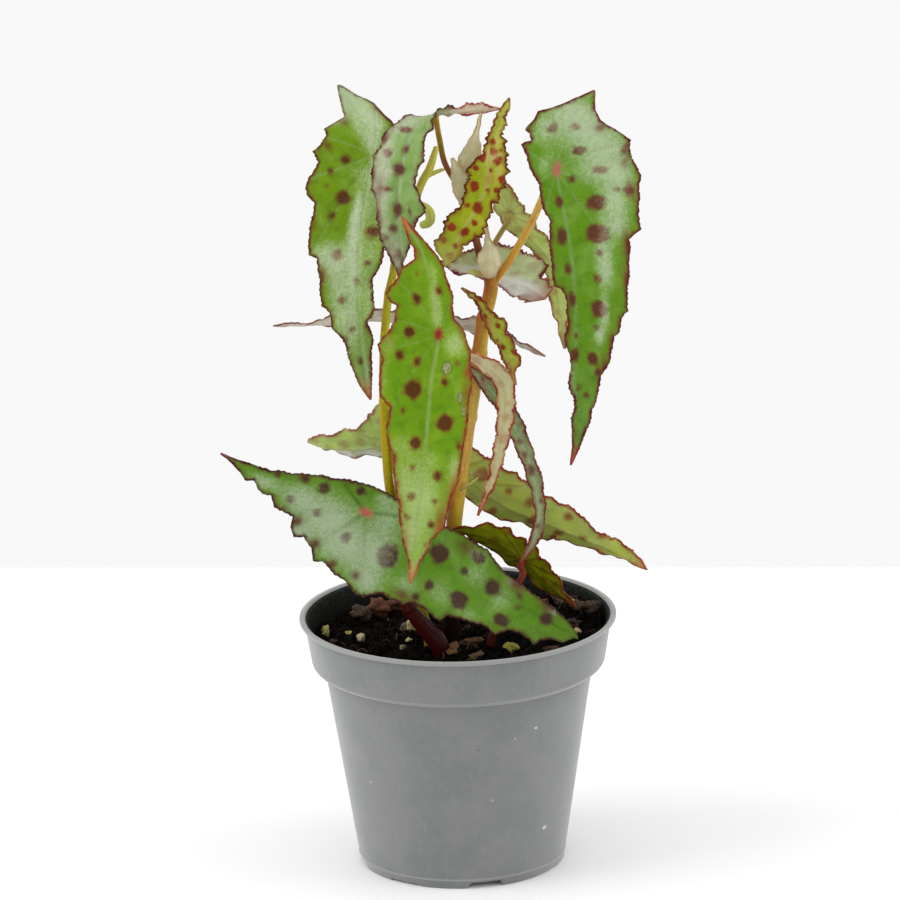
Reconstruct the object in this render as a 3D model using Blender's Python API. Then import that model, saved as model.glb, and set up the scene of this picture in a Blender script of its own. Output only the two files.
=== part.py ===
"""A potted begonia: a grey nursery pot of peat with two canes, a dozen and more peltate leaves and
papery stipules.

Every leaf is one blade with two pointed ends, the heel and the toe. Its stalk meets the underside
at the hub, between the two ends. Lengths are in millimetres here and become metres in the meshes.
+Z is up, the pot's axis is Z, and the pot stands on Z = 0. The front of the plant faces -Y.
"""
import math
import random

import bmesh
import bpy
from mathutils import Vector

MM = 0.001
SMOOTH_ANGLE = 0.6     # faces that meet at less than this many radians are shaded as one surface
GAP = 0.35             # clearance between pieces that touch on the real plant
SEAT_ROOM = 0.1        # more room where a round stalk meets a faceted leaf
CUTTER_SIDES = 16
CUT_PAST = 5.0         # how far a cutter reaches past the surfaces that it cuts

# Pot
POT_HEIGHT = 96.7
RIM_RADIUS = 60.0      # a 12 cm nursery pot
LIP_HEIGHT = 1.5
LIP_WIDTH = 1.9
LIP_ROUND = 0.45
BAND_TOP_RADIUS = 58.1
BAND_LOW_RADIUS = 55.7
BAND_DEPTH = 16.4      # from the rim down to where the shoulder starts to turn in
SHOULDER_DROP = 3.8
SHOULDER_RADIUS = 50.7
BASE_RADIUS = 38.8
POT_WALL = 1.4
BASE_LIFT = 2.5        # the floor plate stands this far above the table
FOOT_WIDTH = 3.0
PAD_RADIUS = 12.0      # flat pad in the middle of the underside
POT_SIDES = 48
NOTCH_WIDTH = 14.0
NOTCH_DEPTH = 2.2
NOTCH_ANGLES = (-77, -35, 10, 55, 100, 145, 190, 235)
DRAIN_RADIUS = 3.2
DRAIN_RING = 27.0
DRAIN_COUNT = 6

# Soil
SOIL_TOP = 87.0
SOIL_LUMP = 1.1
SOIL_RINGS = 6
SOIL_ROOM = 0.5        # the soil's gap to the pot's wall
HEAP_RISE = 4.0        # the peat is heaped against the wall on one side
HEAP_ANGLE = 15.0
HEAP_SPREAD = 40.0
SOIL_EDGE = 3.0        # the soil's side stops this far below its mean top
STEM_FOOT = 60.0       # how far down the stems stand in the soil
HOLE_EASE = 1.06       # a hole is this much wider than its stem and gap, for both are faceted

# Leaves
BLADE = 0.8            # thickness of a leaf
TIP_SHARE = 0.6        # how much of a tooth's depth stands outside the margin's mean line
NOTCH_LEAN = 0.28      # teeth point away from the hub, so a notch lies close behind each point
MIN_HALF_WIDTH = 0.3
WAVE_FADE = 8.0        # the margin's wave fades over this part of the length at both ends
STALK_END = 2.5        # a stalk turns square to its leaf this many radii from it
SEAT_LENGTH = 0.8      # the stalk's wider end under the leaf
SEAT_FLARE = 1.25
STIPULE_ROWS = 8
STIPULE_LIFT = -14     # degrees: a stipule's halves curve back round the cane

COLOURS = {
    "pot": ((0.22, 0.235, 0.25), 0.45),
    "soil": ((0.02, 0.014, 0.01), 0.95),
    "cane": ((0.42, 0.22, 0.05), 0.4),
    "shoot": ((0.36, 0.4, 0.08), 0.4),
    "red stalk": ((0.2, 0.02, 0.02), 0.4),
    "leaf": ((0.12, 0.26, 0.06), 0.35),
    "young leaf": ((0.3, 0.36, 0.04), 0.35),
    "pale leaf": ((0.4, 0.45, 0.25), 0.45),
    "stipule": ((0.62, 0.58, 0.4), 0.6),
}

# Each leaf: stations from the heel to the toe, (x, y, z, left half-width, right half-width), then
# the way its upper face looks along the blade, its hub (the station, and how far left of the middle
# line), the lift of its two halves in degrees, and the wave of its margin. Left is on the left hand
# of someone who looks at the upper face with the toe pointing down. Its teeth are a number on each
# side, or for each side a list of (share of the length, depth).
LEAVES = {
    "leaf_top_left": dict(
        stations=[(-40.5, 4, 302.5, 0.6, 0.6), (-37.5, 1, 296, 2.5, 9), (-34.5, -2, 288, 10, 15),
                  (-34, -5, 278, 15.5, 16), (-36, -9, 262, 17, 15), (-37.5, -12, 242, 15, 13),
                  (-37, -13, 224, 11, 8), (-35, -12, 206.5, 6, 4.5), (-31, -8, 184, 0.5, 0.5)],
        faces=[(-0.2, -0.8, 0.5), (-0.1, -1, 0.3), (-0.1, -1, 0), (0, -1, -0.2)],
        hub=(3, -6), lift=10, wave=1.3, waves=5, colour="leaf",
        teeth=([(0.07, 1), (0.13, 3.5), (0.215, 2.5), (0.335, 3), (0.5, 3.5), (0.62, 1.5), (0.74, 1.5),
                (0.8, 1.2), (0.89, 1)],
               [(0.06, 0.6), (0.14, 0.8), (0.25, 1), (0.38, 1.2), (0.53, 2), (0.62, 1), (0.7, 2.2),
                (0.79, 2), (0.91, 1)])),
    "leaf_arched": dict(
        stations=[(20, 12, 290, 0.5, 0.6), (14, 8, 291, 2, 3), (6.5, 3, 292, 3, 3.8),
                  (0.5, -2, 292.5, 4.5, 4.5), (-5, -7, 293.5, 7, 5.5), (-11.5, -14, 291, 9, 6.5),
                  (-16, -21, 281.5, 10, 6.5), (-18.5, -25, 266.5, 9, 8), (-18.5, -26, 250.5, 7.5, 7),
                  (-18, -25, 232, 0.5, 0.5)],
        faces=[(0.1, 1, 0.3), (0.1, 0.9, 0.5), (-0.3, -0.3, 1), (-0.3, -0.9, 0.3), (-0.1, -1, 0),
               (0, -1, -0.1)],
        hub=(4, 0), lift=10, wave=0.9, waves=5, teeth=13, tooth=1.4, colour="leaf"),
    "leaf_young": dict(
        stations=[(23, -9, 299.5, 0.6, 0.6), (18, -11, 288.5, 2.6, 2.6), (15.5, -13, 279, 4, 5.5),
                  (15, -14, 270, 8, 6), (11.5, -16, 262.5, 7, 6.5), (5, -19, 252, 7.5, 7),
                  (-2.5, -21, 239, 2, 2.5)],
        faces=[(0, -1, 0.2), (0.1, -1, 0.1)],
        hub=(3, 0), lift=10, wave=0.7, waves=6, teeth=12, tooth=1.2, colour="young leaf"),
    "leaf_right": dict(
        stations=[(54.5, -6, 301, 0.6, 0.6), (51, -9, 294.5, 6.5, 4.5), (48.5, -12, 287, 16, 17),
                  (47.5, -14, 277.5, 18, 20.5), (48, -16, 268.5, 15.5, 22.5),
                  (49.5, -19, 255.5, 14, 21), (50.5, -21, 242, 13.5, 17), (50.5, -21, 226, 10.5, 14.5),
                  (49.5, -20, 210, 8, 11), (48, -18, 193.5, 5.5, 7.5), (46, -15, 177, 3.5, 5),
                  (43.5, -10, 157.5, 0.4, 0.4)],
        faces=[(0.1, -0.8, 0.5), (0, -1, 0.3), (0, -1, 0), (0, -1, -0.2)],
        hub=(3.5, 8), lift=9, wave=1.2, waves=5, colour="leaf",
        teeth=([(0.06, 0.8), (0.12, 2), (0.17, 2.5), (0.26, 0.8), (0.35, 0.8), (0.44, 0.8), (0.53, 0.8),
                (0.62, 1), (0.7, 2), (0.8, 1.6), (0.88, 1.6), (0.95, 0.8)],
               [(0.05, 0.6), (0.1, 0.8), (0.165, 2), (0.25, 1.5), (0.32, 1.2), (0.39, 3), (0.5, 1),
                (0.6, 3), (0.73, 2), (0.8, 1.5), (0.87, 1.2), (0.94, 0.8)])),
    "leaf_front": dict(
        stations=[(-17.5, -34, 261.5, 0.6, 0.6), (-11, -37, 250, 4.5, 4.5), (-6.5, -40, 235, 13, 7),
                  (-5, -42, 218.5, 19, 10), (-8, -46, 202, 19.5, 15), (-10, -48, 183.5, 15, 15.5),
                  (-12.5, -48, 160.5, 9.5, 12), (-15.5, -46, 138.5, 4.5, 5.5),
                  (-17.5, -42, 122.5, 0.4, 0.4)],
        faces=[(0, -1, 0.3), (0, -1, 0.2), (0, -1, 0), (0, -1, -0.2)],
        hub=(3, 0), lift=10, wave=1.2, waves=6, colour="leaf",
        teeth=([(0.06, 0.5), (0.13, 1), (0.17, 1.5), (0.235, 4), (0.36, 2), (0.44, 1.5), (0.51, 1.5),
                (0.64, 1.5), (0.72, 1.2), (0.8, 1.2), (0.89, 1)],
               [(0.07, 0.8), (0.13, 1), (0.2, 1), (0.28, 1.5), (0.35, 1.5), (0.44, 1.5), (0.53, 1.5),
                (0.61, 1.5), (0.69, 1.2), (0.81, 1.5), (0.89, 1)])),
    "leaf_low_left": dict(
        stations=[(-87.5, -14, 166, 0.5, 0.5), (-61.5, -20, 154.5, 8, 4), (-39.5, -24, 142, 20, 14),
                  (-17, -27, 129, 19, 14), (3, -30, 117.5, 16, 10), (23.5, -31, 107, 11.5, 7),
                  (38.5, -30, 98.5, 6, 3.5), (45, -29, 95, 0.8, 0.8)],
        faces=[(-0.1, -0.8, 0.6), (0, -0.8, 0.6), (0.1, -0.8, 0.6)],
        hub=(2.15, -5.5), lift=8, wave=1.3, waves=5, colour="leaf",
        teeth=([(0.06, 0.8), (0.13, 1.5), (0.19, 1.5), (0.26, 3), (0.34, 2.5), (0.41, 2), (0.48, 3),
                (0.59, 1.5), (0.67, 2), (0.76, 1.5), (0.84, 2), (0.93, 1.5)],
               [(0.06, 0.6), (0.13, 0.8), (0.2, 0.8), (0.27, 0.8), (0.34, 0.8), (0.42, 0.8), (0.49, 0.8),
                (0.57, 0.8), (0.66, 0.8), (0.75, 0.8), (0.84, 0.8), (0.93, 0.8)])),
    "leaf_low_right": dict(
        stations=[(-10, 17, 158, 0.6, 0.6), (0, 13, 150, 10.5, 10.5), (17, 12, 136, 13, 13),
                  (39.5, 15, 124.5, 8.5, 8.5), (58.5, 18, 115, 5, 5), (72.5, 22, 105.5, 0.4, 0.4)],
        faces=[(0, 0.8, 0.6), (0, 0.8, 0.6)],
        hub=(1, 0), lift=14, wave=0.9, waves=5, teeth=12, tooth=1.8, colour="leaf"),
    "leaf_mid_left": dict(
        stations=[(-5.5, 8, 167.5, 1, 1), (-18.5, 10, 163.5, 11.5, 16), (-28, 12, 159.5, 10.5, 16),
                  (-41.5, 15, 158, 6, 8), (-51, 20, 158, 3, 5), (-55, 28, 157, 0.5, 0.5)],
        faces=[(0, 0.8, 0.6), (0, 0.8, 0.6)],
        hub=(1, 0), lift=12, wave=0.7, waves=4, teeth=8, tooth=1.4, colour="pale leaf"),
    "leaf_top_back": dict(
        stations=[(18.5, 4, 264.5, 1.5, 1.5), (20.5, 8, 258, 4.5, 5), (22.7, 9, 250.5, 5.5, 5.5),
                  (28.2, 12, 242, 5.5, 5), (37, 20, 229, 5, 3.5), (40.5, 27, 210.5, 4.5, 3.5),
                  (42.5, 28, 192, 0.5, 0.5)],
        faces=[(0.2, 0.9, 0.3), (0.3, 0.9, 0)],
        hub=(2, 0), lift=12, wave=0.7, waves=4, teeth=9, tooth=1.2, colour="leaf"),
    "leaf_mid_right": dict(
        stations=[(-7.5, 6, 234.5, 0.6, 0.6), (1.5, 9, 229, 8, 4), (14.5, 12, 225.5, 13, 7),
                  (25, 16, 221.5, 11, 10), (31.5, 19.5, 217.5, 9, 11), (35.5, 23, 213, 3, 4)],
        faces=[(0, 0.85, 0.5), (0, 0.85, 0.5)],
        hub=(2, 0), lift=12, wave=0.8, waves=4, teeth=8, tooth=1.6, colour="pale leaf"),
    "leaf_small_upright": dict(
        stations=[(3.8, -18, 229.5, 0.4, 0.4), (9.8, -19, 223.5, 2.4, 2.4),
                  (13.5, -20, 216.5, 3.2, 3.6), (17.3, -20, 210, 4.2, 4.2),
                  (20.2, -19.5, 202.5, 3.2, 3.2), (23.5, -18, 191.5, 0.6, 0.6)],
        faces=[(0, -1, 0.3), (0, -1, 0)],
        hub=(2, 0), lift=10, wave=0.5, waves=4, teeth=7, tooth=0.9, colour="young leaf"),
    "leaf_pale_drooping": dict(
        stations=[(3.5, -14, 203.5, 1, 1), (12, -14, 198, 4, 3), (18.5, -13, 191.5, 4, 3.5),
                  (19.3, -13, 180.5, 3.6, 3.2), (17.6, -13, 169, 2.8, 2.4), (14, -13, 155, 2.2, 1.6),
                  (8.3, -12, 139, 0.4, 0.4)],
        faces=[(0.1, 0.9, 0.3), (0.1, 1, 0)],
        hub=(0, 0), lift=10, wave=0.6, waves=4, teeth=9, tooth=0.9, colour="pale leaf"),
    "leaf_curved_drooping": dict(
        stations=[(5.5, -8, 196.5, 0.5, 0.5), (12, -6.5, 189, 3, 3), (18.5, -5, 180.5, 4, 3.6),
                  (25, -6, 167, 4, 3), (30, -9, 151.5, 3, 2.6), (31.5, -11, 138.5, 2.4, 2.4),
                  (29.1, -12, 129, 2, 2), (24, -12, 120, 0.4, 0.4)],
        faces=[(0.3, -0.9, 0.3), (0.3, -0.9, 0)],
        hub=(1, 0), lift=20, wave=0.5, waves=4, teeth=9, tooth=0.7, colour="leaf"),
    "leaf_level_back": dict(
        stations=[(-67, 6, 209.5, 0.4, 0.4), (-48.5, 10, 208.5, 5, 4), (-29, 12, 209, 9, 7),
                  (-8, 13, 206.5, 10, 8), (12.5, 14, 203, 7, 6), (35, 18, 192, 0.4, 0.4)],
        faces=[(0, 0.55, 0.85), (0.1, 0.55, 0.85)],
        hub=(3, 0), lift=16, wave=1.0, waves=4, teeth=9, tooth=1.4, colour="pale leaf"),
    "leaf_low_dark": dict(
        stations=[(-1.5, -12, 133.5, 1.5, 1.5), (12, -8, 129, 8, 7), (25, -5, 119, 8, 8),
                  (34.5, -6, 109.5, 6, 6), (44.5, -10, 101.5, 0.5, 0.5)],
        faces=[(0.2, 0.75, 0.6), (0.2, 0.75, 0.6)],
        hub=(2, 0), lift=10, wave=0.6, waves=4, teeth=8, tooth=1.3, colour="leaf"),
}

# Each stalk of a leaf: the piece it grows from, its radius, and the points it passes on its way
# to the hub of the leaf it is named after.
STALKS = {
    "leaf_top_left": ("cane_left", 1.0, [(-21.5, -9, 234), (-20.5, -4, 252), (-25, -1, 271)]),
    "leaf_arched": ("cane_right", 1.1, [(5, -3, 262), (-1.2, -3, 273), (-3.2, -3.5, 283)]),
    "leaf_young": ("cane_right", 0.8, [(6.5, -3, 254), (11, -4, 261), (14.5, -8, 267.5)]),
    "leaf_right": ("cane_right", 1.4, [(15, 0, 225), (22, -1, 235), (30, -4, 249.5), (36, -8, 264)]),
    "leaf_front": ("cane_left", 1.3, [(-19, -9, 120), (-21.5, -11.5, 150), (-22.5, -12, 178),
                                      (-17, -24, 203), (-8, -36, 215)]),
    "leaf_low_right": ("cane_right", 1.4, [(-1, -5, 122), (1, 1, 140), (1, 6, 149)]),
    "leaf_mid_left": ("cane_left", 1.1, [(-22.5, -9.5, 136), (-20, -3, 150), (-18.5, 5, 158)]),
    "leaf_top_back": ("cane_right", 1.0, [(12, -1.5, 235), (16, 2.5, 240), (19.5, 6.5, 244.5)]),
    "leaf_mid_right": ("cane_right", 1.1, [(12.5, -1, 214), (13.5, 4, 218), (14.5, 8, 222)]),
    "leaf_small_upright": ("cane_right", 0.8, [(12, -1, 210), (13.5, -8, 211), (16, -15, 213)]),
    "leaf_pale_drooping": ("cane_right", 0.9, [(9.5, -2, 196), (3.5, -6, 202), (-1, -11, 205.5)]),
    "leaf_curved_drooping": ("cane_right", 0.9, [(8.5, -2, 186), (11, -1, 187), (12, -2.5, 188)]),
    "leaf_level_back": ("cane_right", 1.2, [(9.5, -2, 196), (4, 6, 199), (-6, 11, 203)]),
    "leaf_low_left": ("stalk_low_left", 2.2, [(-18, -17, 104), (-28, -19, 124), (-33, -20, 138)]),
    "leaf_low_dark": ("stalk_low_right", 1.2, [(15, -13, 96), (21, -12, 108), (25, -10, 115)]),
}

# Each stem: its points with a radius at each, from the foot in the soil upwards.
STEMS = {
    "cane_right": dict(
        colour="cane",
        points=[(-2.5, -5.5, STEM_FOOT, 3.2), (-2.5, -5.5, 90, 3.2), (-2.2, -5.3, 100, 3.1),
                (-0.5, -5, 135, 3.0),
                (5.5, -3, 174, 2.9), (9, -2, 193, 2.8), (12, -1, 212, 2.7), (15, 0, 226, 2.6),
                (11, -2, 238, 1.6), (9, -3, 247, 1.4), (5, -3, 263, 1.1)],
        shoots=[[(12.5, -1.5, 230, 0.9), (9, -5, 231.5, 1.2), (7, -7.5, 233, 0.6)],
                [(1, -6, 147, 0.8), (6, -10, 151, 0.4), (8.5, -11, 153.5, 0.3)]]),
    "cane_left": dict(
        colour="shoot",
        points=[(-11, -7, STEM_FOOT, 2.2), (-11, -7, 80, 2.2), (-11.5, -7, 92, 2.1),
                (-19, -8.5, 121, 1.9),
                (-24.5, -9, 149, 1.8), (-26, -9, 184, 1.7), (-25, -9, 211, 1.6),
                (-21.5, -9, 233, 1.5), (-11.5, -8, 264, 1.5), (-7, -8, 273, 1.5),
                (-4.5, -8.5, 281, 1.0)],
        shoots=[[(-8, -8, 270, 0.9), (-4, -7, 271.5, 0.8), (-1.8, -6.5, 272, 0.5)],
                [(-14, -8.5, 256, 0.9), (-10.5, -13, 260, 1.5), (-7.5, -15, 258, 1.8),
                 (-7.5, -15.5, 254.5, 1.8), (-10.5, -15, 253, 1.4)]]),
    "stalk_low_left": dict(
        colour="red stalk",
        points=[(-6.5, -17, STEM_FOOT, 4.0), (-6.5, -17, 80, 4.0), (-7.5, -17, 90, 3.8),
                (-12, -16.5, 96, 3.4),
                (-18, -17, 104, 2.6)],
        shoots=[]),
    "stalk_low_right": dict(
        colour="red stalk",
        points=[(12, -13, STEM_FOOT, 1.7), (12, -13, 80, 1.7), (12.4, -13, 90, 1.6),
                (15, -13, 96, 1.3)],
        shoots=[]),
}

# Each stipule: stations like a leaf's, from its foot on the cane to its tip.
STIPULES = {
    "stipule_top": dict(
        stations=[(6.5, -5.2, 266, 3, 3), (7.8, -7, 274.5, 4.8, 4.4), (9.4, -7, 281, 3, 2.8),
                  (10.6, -6.3, 286, 1.2, 1.2), (12.5, -5, 293, 0.4, 0.4)],
        faces=[(0.1, -1, 0.2), (0.2, -1, 0.1)]),
    "stipule_tip": dict(
        stations=[(7.6, -5.3, 256, 2.5, 2.5), (4.5, -8.6, 266, 4, 3.5), (1.5, -8.8, 277, 0.5, 0.5)],
        faces=[(0, -1, 0.2), (0, -1, 0.2)]),
    "stipule_node": dict(
        stations=[(14, -5.6, 229.5, 2.4, 2.4), (14.2, -7.9, 235, 4.4, 4.4), (14.3, -7.9, 240, 4.2, 3.8),
                  (14, -7.2, 243.5, 1.8, 1.4), (13.5, -5.9, 250, 0.4, 0.4)],
        faces=[(0, -1, 0.2), (0, -1, 0.1)]),
}


def clear_scene():
    """Remove everything that the file opened with."""
    for thing in list(bpy.data.objects):
        bpy.data.objects.remove(thing, do_unlink=True)


def material(piece, colour_name):
    """A Principled material of its own for a piece, from the colour table."""
    colour, roughness = COLOURS[colour_name]
    made = bpy.data.materials.new(piece + " " + colour_name)
    made.use_nodes = True
    shader = made.node_tree.nodes["Principled BSDF"]
    shader.inputs["Base Color"].default_value = (*colour, 1)
    shader.inputs["Roughness"].default_value = roughness
    shader.inputs["Metallic"].default_value = 0.0
    return made


def add_object(name, mesh, colour_name=None):
    """Link a mesh to the scene as one named piece, with its material where it has a colour."""
    thing = bpy.data.objects.new(name, mesh)
    bpy.context.collection.objects.link(thing)
    if colour_name:
        mesh.materials.append(material(name, colour_name))
    mesh.shade_smooth()
    mesh.set_sharp_from_angle(angle=SMOOTH_ANGLE)
    return thing


def mesh_from(name, points, faces):
    """A mesh in metres from points in millimetres, with its faces turned outwards."""
    mesh = bpy.data.meshes.new(name)
    mesh.from_pydata([Vector(p) * MM for p in points], [], faces)
    work = bmesh.new()
    work.from_mesh(mesh)
    bmesh.ops.recalc_face_normals(work, faces=work.faces)
    work.to_mesh(mesh)
    work.free()
    return mesh


def smooth_value(rows, t):
    """The value at place t, counted in rows, on a smooth curve through the rows."""
    last = len(rows) - 1
    i = min(int(t), last - 1)
    u = t - i
    before, here, there, after = (rows[max(0, min(last, i + k))] for k in (-1, 0, 1, 2))
    return [0.5 * (2 * b + (c - a) * u + (2 * a - 5 * b + 4 * c - d) * u * u
                   + (3 * b - a - 3 * c + d) * u ** 3)
            for a, b, c, d in zip(before, here, there, after)]


def length_table(rows, steps=160):
    """Lengths along the curve through the rows, as (row place, length from the start)."""
    table = [(0.0, 0.0)]
    last = Vector(rows[0][:3])
    for k in range(1, steps + 1):
        t = (len(rows) - 1) * k / steps
        point = Vector(smooth_value(rows, t)[:3])
        table.append((t, table[-1][1] + (point - last).length))
        last = point
    return table


def place_at(table, share):
    """The row place that lies at a share of the curve's length."""
    wanted = share * table[-1][1]
    for (t0, l0), (t1, l1) in zip(table, table[1:]):
        if l1 >= wanted:
            return t0 + (t1 - t0) * (wanted - l0) / max(l1 - l0, 1e-9)
    return table[-1][0]


class Blade:
    """The middle surface of a leaf or a stipule."""

    def __init__(self, stations, faces, lift, wave, waves):
        self.rows = [[float(v) for v in row] for row in stations]
        self.faces = [list(Vector(face).normalized()) for face in faces]
        self.table = length_table(self.rows)
        self.lift = math.radians(lift)
        self.wave = wave
        self.waves = waves

    def frame(self, share):
        """The rib's point, the blade's direction, its left and its upper face, and its widths."""
        t = place_at(self.table, share)
        row = smooth_value(self.rows, t)
        step = 0.02
        ahead = Vector(smooth_value(self.rows, min(t + step, len(self.rows) - 1))[:3])
        behind = Vector(smooth_value(self.rows, max(t - step, 0))[:3])
        along = (ahead - behind).normalized()
        face = Vector(smooth_value(self.faces, share * (len(self.faces) - 1)))
        left = along.cross(face).normalized()
        up = left.cross(along).normalized()
        return Vector(row[:3]), along, left, up, row[3], row[4]

    def point(self, share, side, q, extra=0.0):
        """A point at q of the half-width, 0 at the rib and 1 at the margin, on side 1 or -1."""
        rib, _, left, up, wide_left, wide_right = self.frame(share)
        width = max(wide_left if side > 0 else wide_right, MIN_HALF_WIDTH) + extra
        out = q * width
        ripple = self.wave * q * q * math.sin(2 * math.pi * (self.waves * share + 0.23 * side))
        fade = min(1.0, WAVE_FADE * share, WAVE_FADE * (1 - share))
        height = out * math.sin(self.lift) + ripple * fade
        return rib + left * (side * out * math.cos(self.lift)) + up * height


def side_teeth(leaf, side, seed):
    """The teeth of one margin as (share of the length, depth), drawn by a rule or read from a list."""
    teeth = leaf["teeth"]
    if isinstance(teeth, tuple):
        return teeth[0 if side > 0 else 1]
    draw = random.Random(2 * seed + (side > 0))
    return [((k + 0.5 + draw.uniform(-0.2, 0.2)) / teeth, leaf["tooth"] * draw.uniform(0.6, 1.2))
            for k in range(teeth)]


def margin_rows(leaf, side, hub_share, seed):
    """The margin's rows as (share, reach): the heel, then each tooth's point and the notch after it."""
    teeth = side_teeth(leaf, side, seed)
    rows = [(0.0, 0.0)]
    for k, (share, depth) in enumerate(teeth):
        rows.append((share, TIP_SHARE * depth))
        if k + 1 < len(teeth):
            following, next_depth = teeth[k + 1]
            lean = NOTCH_LEAN if share >= hub_share else 1 - NOTCH_LEAN
            notch = (TIP_SHARE - 1) * 0.5 * (depth + next_depth)
            rows.append((share + lean * (following - share), notch))
    rows.append((1.0, 0.0))
    return rows


def blade_grid(blade, leaf, hub_share, seed):
    """Rows of five points across the blade, with toothed margins."""
    grid = []
    sides = (1, -1)
    margins = [margin_rows(leaf, side, hub_share, seed) for side in sides]
    for (left_share, left_reach), (right_share, right_reach) in zip(*margins):
        rib_share = 0.5 * (left_share + right_share)
        line = [blade.point(left_share, 1, 1.0, left_reach)]
        line.append(blade.point(0.5 * (left_share + rib_share), 1, 0.5))
        line.append(blade.point(rib_share, 1, 0.0))
        line.append(blade.point(0.5 * (right_share + rib_share), -1, 0.5))
        line.append(blade.point(right_share, -1, 1.0, right_reach))
        grid.append(line)
    return grid


def thicken(grid, thickness):
    """Points and faces of a closed sheet round a grid, split alike on both faces."""
    rows, columns = len(grid), len(grid[0])
    normals = []
    for i in range(rows):
        line = []
        for j in range(columns):
            along = grid[min(i + 1, rows - 1)][j] - grid[max(i - 1, 0)][j]
            across = grid[i][min(j + 1, columns - 1)] - grid[i][max(j - 1, 0)]
            line.append(across.cross(along).normalized())
        normals.append(line)
    half = thickness / 2
    points = [grid[i][j] + normals[i][j] * half for i in range(rows) for j in range(columns)]
    points += [grid[i][j] - normals[i][j] * half for i in range(rows) for j in range(columns)]
    under = rows * columns
    faces = []
    for i in range(rows - 1):
        for j in range(columns - 1):
            a, b = i * columns + j, i * columns + j + 1
            c, d = b + columns, a + columns
            pair = ((a, b, c), (a, c, d)) if j >= columns // 2 else ((a, b, d), (b, c, d))
            for face in pair:
                faces.append(face)
                faces.append(tuple(v + under for v in reversed(face)))
    edge = [i * columns for i in range(rows)]
    edge += [(rows - 1) * columns + j for j in range(1, columns)]
    edge += [i * columns + columns - 1 for i in range(rows - 2, -1, -1)]
    edge += [j for j in range(columns - 2, 0, -1)]
    for a, b in zip(edge, edge[1:] + edge[:1]):
        faces.append((a, b, b + under))
        faces.append((a, b + under, a + under))
    return points, faces


def leaf_blade(name):
    """A leaf's middle surface and the share of its length where the stalk joins."""
    leaf = LEAVES[name]
    blade = Blade(leaf["stations"], leaf["faces"], leaf["lift"], leaf["wave"], leaf["waves"])
    station = leaf["hub"][0]
    before = max(length for t, length in blade.table if t <= station)
    return blade, before / blade.table[-1][1]


def make_leaf(name, seed):
    """One leaf as a closed toothed blade."""
    leaf = LEAVES[name]
    blade, hub_share = leaf_blade(name)
    grid = blade_grid(blade, leaf, hub_share, seed)
    points, faces = thicken(grid, BLADE)
    return add_object(name, mesh_from(name, points, faces), leaf["colour"])


def make_stipule(name):
    """One papery stipule as a small closed blade with plain margins."""
    sheath = STIPULES[name]
    blade = Blade(sheath["stations"], sheath["faces"], STIPULE_LIFT, 0, 1)
    grid = [[blade.point(k / STIPULE_ROWS, side, q) for side, q in
             ((1, 1.0), (1, 0.5), (1, 0.0), (-1, 0.5), (-1, 1.0))] for k in range(STIPULE_ROWS + 1)]
    points, faces = thicken(grid, BLADE)
    return add_object(name, mesh_from(name, points, faces), "stipule")


def hub_seat(name):
    """Where a stalk ends under its leaf, and the way it points there."""
    blade, share = leaf_blade(name)
    rib, along, _, _, wide_left, wide_right = blade.frame(share)
    if share == 0.0:
        return rib - along * GAP, along
    offset = LEAVES[name]["hub"][1]
    side = 1 if offset >= 0 else -1
    q = abs(offset) / (wide_left if side > 0 else wide_right)
    seat = blade.point(share, side, q)
    across = blade.point(share, side, q + 0.1) - seat
    ahead = blade.point(share + 0.01, side, q) - seat
    up = (across.cross(ahead) * side).normalized()
    return seat - up * (BLADE / 2 + GAP + SEAT_ROOM), up


def tube(points, sides=8, per_span=4):
    """A closed round tube through points that carry a radius each."""
    rows = [[float(v) for v in row] for row in points]
    count = (len(rows) - 1) * per_span
    rings, faces = [], []
    side = None
    for k in range(count + 1):
        t = (len(rows) - 1) * k / count
        row = smooth_value(rows, t)
        ahead = Vector(smooth_value(rows, min(t + 0.05, len(rows) - 1))[:3])
        behind = Vector(smooth_value(rows, max(t - 0.05, 0))[:3])
        along = (ahead - behind).normalized()
        side = (Vector((1, 0.3, 0.1)) if side is None else side)
        side = (side - along * side.dot(along)).normalized()
        other = along.cross(side)
        for n in range(sides):
            angle = 2 * math.pi * n / sides
            rings.append(Vector(row[:3]) + (side * math.cos(angle) + other * math.sin(angle)) * row[3])
    for k in range(count):
        for n in range(sides):
            a, b = k * sides + n, k * sides + (n + 1) % sides
            faces.append((a, b, b + sides, a + sides))
    faces.append(tuple(range(sides - 1, -1, -1)))
    faces.append(tuple(range(count * sides, (count + 1) * sides)))
    return rings, faces


def stalk_points(name):
    """The points of a leaf's stalk, ending square under the leaf's hub."""
    _, radius, way = STALKS[name]
    seat, up = hub_seat(name)
    points = [(*p, radius) for p in way]
    points.append((*(seat - up * (STALK_END * radius)), radius))
    points.append((*(seat - up * SEAT_LENGTH), radius * SEAT_FLARE))
    points.append((*seat, radius * SEAT_FLARE))
    return points


def join_solids(target, others):
    """Fuse solids into the target with one union on a collection, then drop them."""
    group = bpy.data.collections.new("growing parts")
    bpy.context.scene.collection.children.link(group)
    for other in others:
        bpy.context.collection.objects.unlink(other)
        group.objects.link(other)
    union = target.modifiers.new("grown together", "BOOLEAN")
    union.operation = "UNION"
    union.operand_type = "COLLECTION"
    union.collection = group
    union.solver = "MANIFOLD"
    apply_modifiers(target)
    for other in others:
        bpy.data.objects.remove(other, do_unlink=True)
    bpy.data.collections.remove(group)


def apply_modifiers(thing):
    """Turn an object's modifiers into its mesh."""
    bpy.context.view_layer.update()
    graph = bpy.context.evaluated_depsgraph_get()
    mesh = bpy.data.meshes.new_from_object(thing.evaluated_get(graph))
    thing.modifiers.clear()
    thing.data = mesh


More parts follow.
